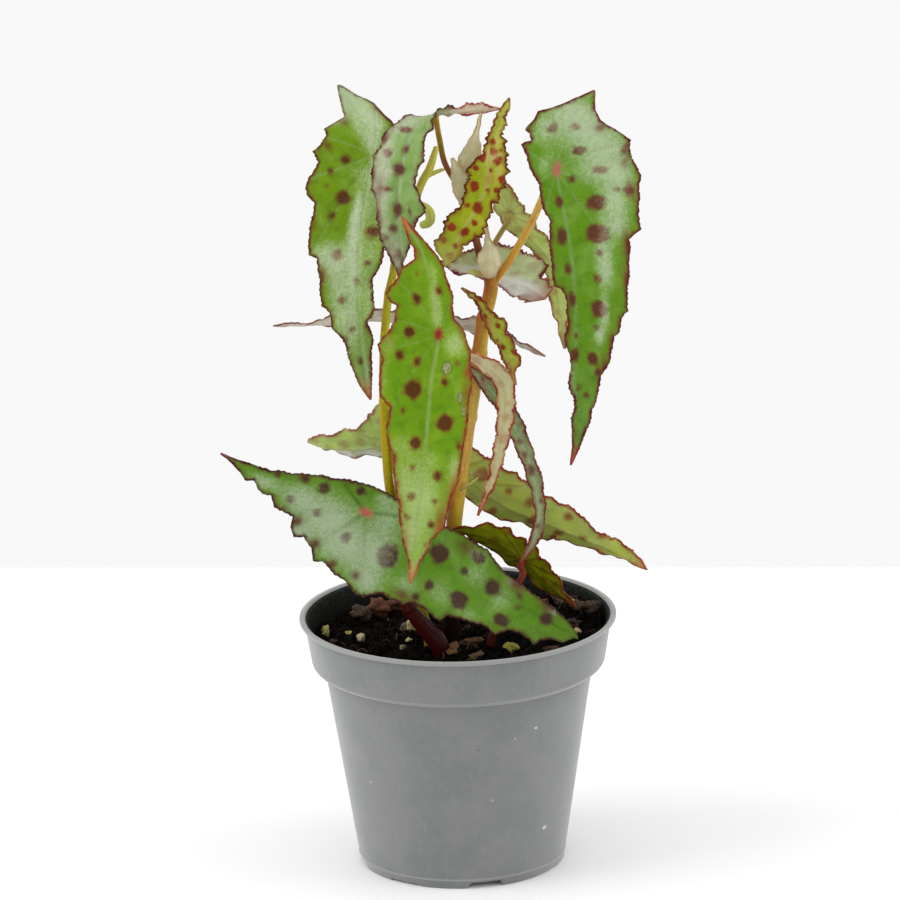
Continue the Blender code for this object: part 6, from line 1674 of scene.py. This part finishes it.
# %% Pot finish
SCUFFS = [                # turn round the pot in degrees, height and size in mm, colour
    (-54.2, 63.8, (1.0, 0.8), (214, 216, 214)), (-42.1, 20.2, (1.5, 1.1), (226, 226, 222)),
    (-64.9, 61.0, (0.7, 0.6), (176, 178, 178)), (-74.8, 36.4, (0.9, 1.0), (160, 162, 162)),
    (-81.9, 58.0, (1.4, 0.4), (84, 86, 90)), (-139.1, 40.0, (0.8, 0.6), (180, 182, 182)),
    (162.3, 56.0, (1.2, 0.9), (190, 192, 192)), (74.4, 38.0, (1.3, 1.0), (190, 192, 192)),
]


def add_scuffs(plastic, here, colour):
    """Small ragged blobs of their own colour on the pot's side."""
    for turn, height, (wide, tall), tone in SCUFFS:
        radius, angle = body_radius(height), math.radians(turn)
        place = (radius * math.cos(angle), radius * math.sin(angle), height)
        ragged = plastic.times(plastic.noise(here, 1.6, 3), 1.4)
        edge = plastic.maths("ADD", plastic.away_from(here, place, (wide, wide, tall)), ragged)
        colour = plastic.mix(plastic.step(edge, 1.7, 1.0, 0.0, 0.75), colour, paint(*tone))
    return colour


def pot_finish():
    """Matt grey moulded plastic with light wear, and a painted highlight and painted shadow line round the
    shoulder.
    """
    plastic = Recipe("grey plastic", 0.46)
    here = plastic.here()
    height = plastic.split(here)[2]
    mottle = plastic.noise(here, 0.35, 4, 0.6)
    clouds = plastic.noise(here, 0.05, 2)
    drag = plastic.noise(plastic.vector("MULTIPLY", here, (1.0, 1.0, 0.05)), 0.9, 2)
    colour = plastic.mix(plastic.step(clouds, 0.35, 0.65), paint(116, 118, 119), paint(124, 125, 126))
    colour = plastic.mix(plastic.step(mottle, 0.45, 0.75, 0.0, 0.25), colour, paint(138, 140, 141))
    colour = plastic.mix(plastic.step(mottle, 0.5, 0.25, 0.0, 0.25), colour, paint(104, 107, 109))
    colour = plastic.mix(plastic.step(drag, 0.55, 0.8, 0.0, 0.25), colour, paint(146, 148, 149))
    lip = plastic.step(height, POT_HEIGHT - LIP_HEIGHT - 0.1, POT_HEIGHT - LIP_HEIGHT + 0.2)
    colour = plastic.mix(plastic.times(lip, 0.8), colour, paint(152, 154, 151))
    # painted highlight: a pale line round the shoulder
    painted_highlight_line = plastic.apart(height, SHOULDER + 1.9)
    colour = plastic.mix(plastic.step(painted_highlight_line, 0.45, 0.15, 0.0, 0.35), colour, paint(164, 165, 163))
    # painted shadow: a dark line just under it
    painted_shade_line = plastic.apart(height, SHOULDER + 0.8)
    colour = plastic.mix(plastic.step(painted_shade_line, 0.9, 0.2, 0.0, 0.4), colour, paint(84, 88, 90))
    foot_line = plastic.apart(height, MOULD_LINE + 0.2)
    colour = plastic.mix(plastic.step(foot_line, 0.6, 0.1, 0.0, 0.45), colour, paint(168, 169, 166))
    colour = add_scuffs(plastic, here, colour)
    specks = plastic.cells(here, 0.16)
    dirt = plastic.times(plastic.step(specks, 0.06, 0.03), plastic.step(clouds, 0.45, 0.6))
    colour = plastic.mix(plastic.times(dirt, 0.6), colour, paint(62, 54, 48))
    plastic.feed(plastic.shader.inputs["Base Color"], colour)
    plastic.feed(plastic.shader.inputs["Roughness"], plastic.step(mottle, 0.2, 0.8, 0.38, 0.56))
    grit = plastic.noise(here, 2.2, 3)
    plastic.bump(plastic.maths("ADD", grit, plastic.times(drag, 0.6)), 0.05)
    plastic.shader.inputs["Sheen Weight"].default_value = 0.42
    plastic.shader.inputs["Sheen Roughness"].default_value = 0.45
    return plastic.material


def shaded_grimy_finish():
    """The inner wall, darkened by painted shade and by damp peat that sticks to it."""
    wall = Recipe("shaded grimy inner wall", 0.7)
    here = wall.here()
    crust = wall.noise(here, 0.5, 5, 0.65)
    specks = wall.cells(here, 0.8)
    # painted shade: the grey plastic inside is painted near-black for the shade in the pot, with stuck peat
    colour = wall.mix(wall.step(crust, 0.35, 0.65), paint(18, 22, 18), paint(40, 44, 40))
    colour = wall.mix(wall.step(specks, 0.3, 0.1, 0.0, 0.8), colour, paint(24, 18, 14))
    high = wall.split(here)[2]
    # darker towards the peat: more stuck peat and deeper painted shade
    dust_and_shade_height = wall.maths("ADD", high, wall.times(crust, 6.0))
    colour = wall.mix(wall.step(dust_and_shade_height, 92.0, 98.0, 0.75, 0.0), colour, paint(14, 12, 10))
    wall.shader.inputs["Specular IOR Level"].default_value = 0.1
    wall.feed(wall.shader.inputs["Base Color"], colour)
    wall.bump(crust, 0.3)
    return wall.material


def pot_ring(work, radius, height):
    """A ring of corners, raised at the notches where it belongs to the foot's lower edge."""
    ring = []
    for n in range(POT_SIDES):
        degrees = 360 * n / POT_SIDES
        foot = height
        if radius > BASE_RADIUS - FOOT_WIDTH - 0.1 and height < NOTCH_TOP:
            foot = max(height, min(notch_height(degrees) + height, NOTCH_TOP))
        angle = math.radians(degrees)
        ring.append(work.verts.new(Vector((radius * math.cos(angle), radius * math.sin(angle), foot)) * MM))
    return ring


def turned_pot():
    """The mesh turned from the profile, outside with the first finish and inside with the second."""
    profile = pot_profile()
    work = bmesh.new()
    rings = []
    for radius, height in profile:
        if radius == 0:
            rings.append([work.verts.new(Vector((0, 0, height)) * MM)] * POT_SIDES)
        else:
            rings.append(pot_ring(work, radius, height))
    inner_start = len(profile) - INNER_POINTS
    for k, (low, high) in enumerate(zip(rings, rings[1:])):
        for n in range(POT_SIDES):
            m = (n + 1) % POT_SIDES
            corners = dict.fromkeys((low[n], high[n], high[m], low[m]))
            work.faces.new(list(corners)).material_index = 1 if k >= inner_start else 0
    bmesh.ops.recalc_face_normals(work, faces=work.faces)
    mesh = bpy.data.meshes.new("nursery_pot")
    work.to_mesh(mesh)
    work.free()
    return mesh


def drain_cutter():
    """Upright cylinders where the drain holes go."""
    work = bmesh.new()
    for n in range(DRAIN_COUNT):
        angle = 2 * math.pi * n / DRAIN_COUNT
        place = Vector((DRAIN_RING * math.cos(angle), DRAIN_RING * math.sin(angle), BASE_LIFT))
        bmesh.ops.create_cone(work, cap_ends=True, segments=28, radius1=DRAIN_RADIUS * MM,
                              radius2=DRAIN_RADIUS * MM, depth=DRAIN_DEPTH * MM,
                              matrix=Matrix.Translation(place * MM))
    mesh = bpy.data.meshes.new("drain cutters")
    work.to_mesh(mesh)
    work.free()
    cutter = bpy.data.objects.new("drain cutters", mesh)
    bpy.context.collection.objects.link(cutter)
    return cutter


def make_pot():
    """The pot with its two finishes and its drain holes."""
    pot = bpy.data.objects.new("nursery_pot", turned_pot())
    bpy.context.collection.objects.link(pot)
    cut = pot.modifiers.new("drain holes", "BOOLEAN")
    cut.operation = "DIFFERENCE"
    cut.object = drain_cutter()
    cut.solver = "MANIFOLD"
    pot.data.materials.append(pot_finish())
    pot.data.materials.append(shaded_grimy_finish())
    pot.data = evaluated_mesh(pot)
    bpy.data.objects.remove(cut.object, do_unlink=True)
    pot.modifiers.clear()
    pot.data.shade_smooth()
    pot.data.set_sharp_from_angle(angle=SHARP_ANGLE)
    return finish_piece(pot, "pot", "pot")


def evaluated_mesh(thing):
    """A plain mesh of an object with its modifiers' result."""
    bpy.context.view_layer.update()
    graph = bpy.context.evaluated_depsgraph_get()
    return bpy.data.meshes.new_from_object(thing.evaluated_get(graph))


make_pot()
print("pot triangles", pieces_made[-1][1])


# %% [markdown]
# ## Peat
# The pot is filled with dark, loose peat, some 8 mm below the rim. Its body is a closed block whose
# top is pushed up and down by noise. Loose crumbs on it are made with Geometry Nodes further down,
# because there are far too many to place by hand.

# %% Peat block
SOIL_TOP = 87.0
SOIL_LUMP = 1.1
SOIL_ROOM = 0.5
SOIL_RINGS = 66
SOIL_SIDES = 240
HEAP_RISE = 4.0        # the peat is heaped against the wall on one side
HEAP_ANGLE = 15.0
HEAP_SPREAD = 40.0


def soil_height(x, y):
    """The lumpy surface of the peat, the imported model's slow waves with finer lumps."""
    aside = (math.degrees(math.atan2(y, x)) - HEAP_ANGLE) / HEAP_SPREAD
    heap = HEAP_RISE * math.exp(-aside ** 2) * (math.hypot(x, y) / SHOULDER_RADIUS) ** 4
    lumps = math.sin(0.31 * x + 0.5) * math.cos(0.27 * y - 0.4)
    lumps += 0.6 * math.sin(0.63 * x - 0.44 * y + 1.9) + 0.35 * math.cos(0.9 * y + 0.7 * x)
    place = Vector((x, y, 3.7))
    fine = 1.7 * noise.noise(place * 0.16) + 1.3 * noise.noise(place * 0.37) + 0.8 * noise.noise(place * 0.8)
    fine += 0.45 * noise.noise(place * 1.7)
    return SOIL_TOP + SOIL_LUMP * lumps + fine + heap


def inner_radius(height):
    """The radius of the pot's inner wall at a height."""
    inner = sorted([(z, r) for r, z in pot_profile()[-INNER_POINTS - 1:-1]])
    return float(np.interp(height, [z for z, _ in inner], [r for _, r in inner]))


def shaded_peat_finish():
    """Crumbly peat with brown fibres and rusty grains, painted near-black: its own dark brown with painted
    shade from the plant above.
    """
    peat = Recipe("peat", 0.95)
    here = peat.here()
    grains = peat.cells(here, 0.9)
    tone = peat.noise(here, 0.5, 5, 0.65)
    fibres = peat.noise(peat.vector("MULTIPLY", here, (0.5, 2.0, 1.0)), 1.0, 4, 0.7)
    # painted shade: these colours are darker than peat, standing for the shade under the leaves
    colour = peat.mix(peat.step(tone, 0.35, 0.65), paint(4, 2, 2), paint(20, 12, 7))
    colour = peat.mix(peat.step(fibres, 0.62, 0.72, 0.0, 0.6), colour, paint(84, 52, 30))
    colour = peat.mix(peat.step(grains, 0.14, 0.05, 0.0, 0.6), colour, paint(130, 84, 46))
    colour = peat.mix(peat.step(grains, 0.5, 0.9), colour, paint(4, 2, 2))
    peat.feed(peat.shader.inputs["Base Color"], colour)
    peat.shader.inputs["Specular IOR Level"].default_value = 0.08
    peat.bump(peat.maths("SUBTRACT", tone, grains), 0.9)
    return peat.material


def make_peat(skin):
    """The block of peat, and its top alone as a ground for the crumbs."""
    bottom = BASE_LIFT + POT_WALL + 0.35
    top_radius = inner_radius(SOIL_TOP) - SOIL_ROOM - 0.3
    angles = 2 * np.pi * np.arange(SOIL_SIDES) / SOIL_SIDES
    points = [(0, 0, bottom)]
    heights = (bottom, 30.0, 60.0, SHOULDER, SHOULDER + 2, BAND_LOW - 1, BAND_LOW + 1, SOIL_TOP - 3)
    for height in heights:
        radius = inner_radius(height) - SOIL_ROOM
        points += [(radius * math.cos(a), radius * math.sin(a), height) for a in angles]
    walls = len(heights)
    for k in range(SOIL_RINGS):
        radius = top_radius * (SOIL_RINGS - k) / SOIL_RINGS
        for a in angles:
            x, y = radius * math.cos(a), radius * math.sin(a)
            points.append((x, y, soil_height(x, y)))
    points.append((0, 0, soil_height(0, 0)))
    faces, top_faces = [], []
    for n in range(SOIL_SIDES):
        m = (n + 1) % SOIL_SIDES
        faces.append((0, 1 + m, 1 + n))
        for k in range(walls + SOIL_RINGS - 1):
            a = 1 + k * SOIL_SIDES
            face = (a + n, a + m, a + SOIL_SIDES + m, a + SOIL_SIDES + n)
            (top_faces if k >= walls else faces).append(face)
        a = 1 + (walls + SOIL_RINGS - 1) * SOIL_SIDES
        top_faces.append((a + n, a + m, len(points) - 1))
    ground = mesh_piece("peat ground", points, top_faces, [skin])
    finish_piece(mesh_piece("peat_block", points, faces + top_faces, [skin]), "peat", "soil")
    return ground


shaded_peat_skin = shaded_peat_finish()
peat_ground = make_peat(shaded_peat_skin)
print("peat triangles", pieces_made[-1][1])


# %% [markdown]
# ## Crumbs with Geometry Nodes
# A few thousand crumbs lie on the peat. The tree scatters points over the ground, puts a small round
# body on each with a random turn and size, makes the copies real, and pushes their points about with
# noise so that no two are alike. Its sizes are named inputs, and its seed is fixed.

# %% Crumbs
CRUMB_INPUTS = {"Geometry": "Geometry", "Crumbs per Square Metre": "Float", "Smallest Size": "Float",
                "Largest Size": "Float", "Roundness Loss": "Float", "Seed": "Int", "Skin": "Material"}
FULL_TURNS = (6.28, 6.28, 6.28)
FLATTEST, LONGEST = (0.7, 0.5, 0.4), (1.5, 1.1, 0.9)
CRUMB_NODES = {           # kind of node, its settings, its inputs
    "start": ("NodeGroupInput", {}, {}),
    "dots": ("GeometryNodeDistributePointsOnFaces", {}, {}),
    "ball": ("GeometryNodeMeshIcoSphere", {}, {"Radius": 1.0, "Subdivisions": 2}),
    "turn": ("FunctionNodeRandomValue", {"data_type": "FLOAT_VECTOR"}, {1: FULL_TURNS}),
    "size": ("FunctionNodeRandomValue", {"data_type": "FLOAT"}, {}),
    "squeeze": ("FunctionNodeRandomValue", {"data_type": "FLOAT_VECTOR"}, {0: FLATTEST, 1: LONGEST}),
    "scale": ("ShaderNodeVectorMath", {"operation": "SCALE"}, {}),
    "copies": ("GeometryNodeInstanceOnPoints", {}, {}),
    "real": ("GeometryNodeRealizeInstances", {}, {}),
    "place": ("GeometryNodeInputPosition", {}, {}),
    "wobble": ("ShaderNodeTexNoise", {}, {"Scale": 900.0}),
    "centred": ("ShaderNodeVectorMath", {"operation": "SUBTRACT"}, {1: (0.5, 0.5, 0.5)}),
    "push": ("ShaderNodeVectorMath", {"operation": "SCALE"}, {}),
    "move": ("GeometryNodeSetPosition", {}, {}),
    "skin": ("GeometryNodeSetMaterial", {}, {}),
    "end": ("NodeGroupOutput", {}, {}),
}
CRUMB_LINKS = [           # from a node's output to another node's input
    ("start", "Geometry", "dots", "Mesh"), ("start", "Crumbs per Square Metre", "dots", "Density"),
    ("start", "Seed", "dots", "Seed"), ("start", "Smallest Size", "size", 2),
    ("start", "Largest Size", "size", 3), ("start", "Seed", "size", "Seed"),
    ("squeeze", 0, "scale", 0), ("size", 1, "scale", "Scale"), ("dots", "Points", "copies", "Points"),
    ("ball", "Mesh", "copies", "Instance"), ("turn", 0, "copies", "Rotation"),
    ("scale", 0, "copies", "Scale"), ("copies", "Instances", "real", 0), ("place", 0, "wobble", "Vector"),
    ("wobble", "Color", "centred", 0), ("centred", 0, "push", 0),
    ("start", "Roundness Loss", "push", "Scale"), ("real", 0, "move", "Geometry"),
    ("push", 0, "move", "Offset"), ("move", 0, "skin", "Geometry"), ("start", "Skin", "skin", "Material"),
    ("skin", 0, "end", 0),
]


def crumb_tree():
    """A node tree that covers a ground with crumbs."""
    tree = bpy.data.node_groups.new("scatter crumbs", "GeometryNodeTree")
    for label, kind in CRUMB_INPUTS.items():
        tree.interface.new_socket(label, in_out="INPUT", socket_type="NodeSocket" + kind)
    tree.interface.new_socket("Geometry", in_out="OUTPUT", socket_type="NodeSocketGeometry")
    nodes = {}
    for name, (kind, settings, values) in CRUMB_NODES.items():
        nodes[name] = tree.nodes.new(kind)
        for key, value in settings.items():
            setattr(nodes[name], key, value)
        for socket, value in values.items():
            nodes[name].inputs[socket].default_value = value
    for giver, output, taker, entry in CRUMB_LINKS:
        tree.links.new(nodes[giver].outputs[output], nodes[taker].inputs[entry])
    return tree


def scatter(name, ground, tree, settings, slot):
    """Run the tree on a copy of the ground with its inputs set, and keep the plain mesh."""
    holder = bpy.data.objects.new(name, ground.data.copy())
    bpy.context.collection.objects.link(holder)
    run = holder.modifiers.new("crumbs", "NODES")
    run.node_group = tree
    sockets = {item.name: item.identifier for item in tree.interface.items_tree if item.in_out == "INPUT"}
    for label, value in settings.items():
        run[sockets[label]] = value
    mesh = evaluated_mesh(holder)
    holder.modifiers.clear()
    holder.data = mesh
    return finish_piece(holder, slot)


crumbs = crumb_tree()
scatter("peat_crumbs", peat_ground, crumbs, {
    "Crumbs per Square Metre": 170000.0, "Smallest Size": 0.35 * MM, "Largest Size": 1.5 * MM,
    "Roundness Loss": 1.1 * MM, "Seed": 5, "Skin": shaded_peat_skin}, "peat")
print("crumb triangles", pieces_made[-1][1])


# %% [markdown]
# ## Perlite, bark and fibres
# Between the crumbs lie a few yellowish grains of perlite, rusty bits of bark and curly fibres. Only
# a handful stand out, so they are placed one by one: a lump is a small sphere pushed about by noise,
# and a fibre is a thin tube on a wandering line.

# %% Lumps and fibres
LUMPS = [                 # x, y, size, stretch, height above the peat, colour
    (-50.4, 8.6, 1.8, (0.9, 0.8, 1.5), 1.8, (206, 196, 110)),
    (-41.6, 7.8, 1.9, (1.1, 0.8, 0.8), 1.0, (190, 172, 92)),
    (-36.8, -0.7, 1.7, (1.0, 0.9, 0.9), 1.0, (206, 190, 146)),
    (-16.7, 5.0, 2.6, (0.6, 1.2, 1.2), 2.0, (198, 196, 130)),
    (-18.8, -1.5, 1.6, (0.8, 1.0, 0.5), 1.0, (200, 192, 140)),
    (-8.9, -15.0, 2.1, (0.9, 0.8, 1.0), 1.2, (190, 124, 44)),
    (-4.3, -14.5, 1.7, (0.7, 0.8, 1.0), 1.2, (206, 184, 140)),
    (-20.9, -14.5, 1.5, (1.0, 0.8, 0.8), 0.8, (128, 122, 84)),
    (19.7, -17.5, 2.7, (1.3, 0.8, 0.8), 1.2, (186, 178, 72)),
    (45.0, -4.0, 1.6, (1.2, 0.8, 0.8), 1.0, (200, 178, 130)),
    (20.0, 34.0, 1.8, (1.0, 1.0, 0.8), 1.0, (200, 190, 130)),
    (-8.0, 44.0, 1.6, (1.0, 0.8, 0.8), 1.0, (206, 196, 150)),
    (44.0, 22.0, 1.4, (1.0, 0.8, 0.8), 1.0, (190, 176, 110)),
]
BARK = [
    (-39.3, 34.4, 2.7, (1.2, 0.9, 0.8), 1.6, (136, 74, 30)),
    (-35.0, 27.0, 2.4, (1.3, 0.8, 0.7), 1.4, (126, 66, 28)),
    (6.2, -24.0, 3.2, (1.5, 0.7, 0.5), 1.2, (112, 84, 50)),
    (-1.5, -18.0, 2.6, (1.3, 0.8, 0.7), 1.4, (126, 88, 44)),
    (5.0, -9.5, 3.0, (1.3, 0.7, 0.5), 1.6, (108, 74, 38)),
    (-20.0, 12.0, 2.6, (0.6, 1.3, 0.6), 1.4, (96, 82, 60)),
    (30.0, 30.0, 3.8, (1.5, 0.6, 0.4), 1.2, (110, 64, 36)),
    (8.0, 46.0, 3.4, (1.4, 0.7, 0.4), 1.2, (120, 72, 40)),
    (-46.0, -4.0, 2.6, (1.3, 0.6, 0.5), 1.0, (76, 48, 30)),
    (36.0, -22.0, 2.8, (1.4, 0.7, 0.5), 1.0, (86, 56, 34)),
    (50.0, 12.0, 3.0, (1.2, 0.9, 0.8), 1.4, (66, 44, 32)),
    (46.0, 20.0, 2.6, (1.3, 0.8, 0.7), 1.4, (84, 56, 40)),
    (44.0, 4.0, 2.4, (1.1, 0.9, 0.8), 1.0, (58, 38, 28)),
    (40.0, 30.0, 3.2, (1.2, 0.8, 0.8), 1.2, (74, 50, 36)),
    (-30.5, 27.0, 4.4, (1.2, 0.8, 0.8), 3.4, (104, 56, 30)),
    (-22.0, 32.0, 4.2, (1.3, 0.8, 0.7), 3.2, (92, 48, 26)),
    (-14.0, 36.0, 3.6, (1.2, 0.8, 0.7), 2.2, (84, 44, 26)),
    (-37.0, 20.0, 3.4, (1.1, 0.8, 0.8), 2.2, (60, 36, 24)),
]


def lump_finish(name, roughness):
    """Dusty grains whose colour is stored at their points."""
    dusty = Recipe(name, roughness)
    here = dusty.here()
    colour = dusty.attribute("tint", "Color")
    pits = dusty.noise(here, 1.2, 4, 0.6)
    colour = dusty.mix(dusty.step(pits, 0.5, 0.3, 0.0, 0.75), colour,
                       dusty.dyed(colour, (0.3, 0.25, 0.2)))
    colour = dusty.mix(dusty.step(pits, 0.6, 0.8, 0.0, 0.5), colour, paint(226, 214, 176))
    dusty.feed(dusty.shader.inputs["Base Color"], colour)
    dusty.bump(pits, 0.6)
    return dusty.material


def lump_parts(table, seed, rough):
    """Points, faces and colours of all lumps in a table."""
    draw = random.Random(seed)
    points, faces, tints = [], [], []
    for x, y, size, stretch, raise_by, colour in table:
        work = bmesh.new()
        bmesh.ops.create_icosphere(work, subdivisions=3, radius=1.0)
        turn = Matrix.Rotation(draw.uniform(0, 6.28), 3, "Z")
        turn = turn @ Matrix.Rotation(draw.uniform(-0.5, 0.5), 3, "X")
        shift = Vector((draw.uniform(0, 50), draw.uniform(0, 50), 0))
        start = len(points)
        middle_point = Vector((x, y, soil_height(x, y) + raise_by * 0.7))
        for corner in work.verts:
            push = 1 + rough * noise.noise(corner.co * 1.3 + shift)
            push += 0.5 * rough * noise.noise(corner.co * 3.1 + shift)
            spot = Vector(c * s for c, s in zip(corner.co, stretch)) * push * size
            points.append(turn @ spot + middle_point)
            tints.append(paint(*colour))
        faces += [tuple(start + corner.index for corner in face.verts) for face in work.faces]
        work.free()
    return points, faces, tints


for name, table, seed, rough in (("perlite_grains", LUMPS, 3, 0.5), ("bark_bits", BARK, 8, 0.8)):
    points, faces, tints = lump_parts(table, seed, rough)
    lumps = mesh_piece(name, points, faces, [lump_finish(name + " skin", 0.85)], None, None, {"tint": tints})
    finish_piece(lumps, "peat")


FIBRE_STEP = 1.2
FIBRE_RADIUS = 0.13
FIBRE_SIDES = 5
FIBRE_ROOM = 2.5          # fibres stay this far from the pot's wall
FIBRE_TONES = ((90, 64, 44), (110, 82, 58), (70, 48, 32), (50, 34, 24), (124, 96, 66))
STRAY_FIBRES = 30
STRAY_CURL, PLACED_CURL = 0.7, 1.0
RIGHT_FIBRES = ((47, 30), (49, 24), (46, 36), (50, 18), (44, 40), (51, 12), (48, 27), (46, 33))
FRONT_FIBRES = ((-2, -20), (3, -22), (-6, -24), (20, -26), (-34, -22))


def fibre_points(x, y, length, draw, curl):
    """A wandering line over the peat."""
    heading = draw.uniform(0, 6.28)
    steps = max(5, int(length / FIBRE_STEP))
    rows = []
    for k in range(steps):
        lift = 0.5 + 0.9 * math.sin(math.pi * k / (steps - 1))
        rows.append((x, y, max(soil_height(x, y), SOIL_TOP - 2.5) + lift, FIBRE_RADIUS))
        heading += draw.uniform(-curl, curl)
        x += FIBRE_STEP * math.cos(heading)
        y += FIBRE_STEP * math.sin(heading)
        room = math.hypot(x, y) / (inner_radius(SOIL_TOP) - FIBRE_ROOM)
        if room > 1:
            x, y = x / room, y / room
            heading += 1.2
    return rows


def fibre_starts(draw):
    """Where each fibre starts, its length and how much it curls."""
    starts = []
    for _ in range(STRAY_FIBRES):
        angle, distance = draw.uniform(0, 6.28), 50 * math.sqrt(draw.uniform(0.02, 1))
        place = (distance * math.cos(angle), distance * math.sin(angle))
        starts.append((*place, draw.uniform(4, 12), STRAY_CURL))
    for places, shortest, longest in ((RIGHT_FIBRES, 9, 16), (FRONT_FIBRES, 7, 11)):
        starts += [(x, y, draw.uniform(shortest, longest), PLACED_CURL) for x, y in places]
    return starts


def make_fibres():
    """All fibres as one piece."""
    draw = random.Random(21)
    parts = []
    for x, y, length, curl in fibre_starts(draw):
        tone = draw.choice(FIBRE_TONES)
        line = fibre_points(x, y, length, draw, curl)
        parts.append(tube_parts(line, [(0, tone), (1, tone)], FIBRE_SIDES))
    points, faces, _, tints = join_tubes(parts)
    skin = lump_finish("fibre skin", 0.8)
    finish_piece(mesh_piece("root_fibres", points, faces, [skin], None, None, {"tint": tints}), "peat")
    return len(parts)


print("fibres", make_fibres())
bpy.data.objects.remove(peat_ground, do_unlink=True)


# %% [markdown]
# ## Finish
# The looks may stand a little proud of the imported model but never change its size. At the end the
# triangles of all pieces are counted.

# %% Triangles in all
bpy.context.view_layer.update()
largest = max(pieces_made, key=lambda made: made[1])
print("triangles in all", sum(count for _, count in pieces_made), "largest", largest)
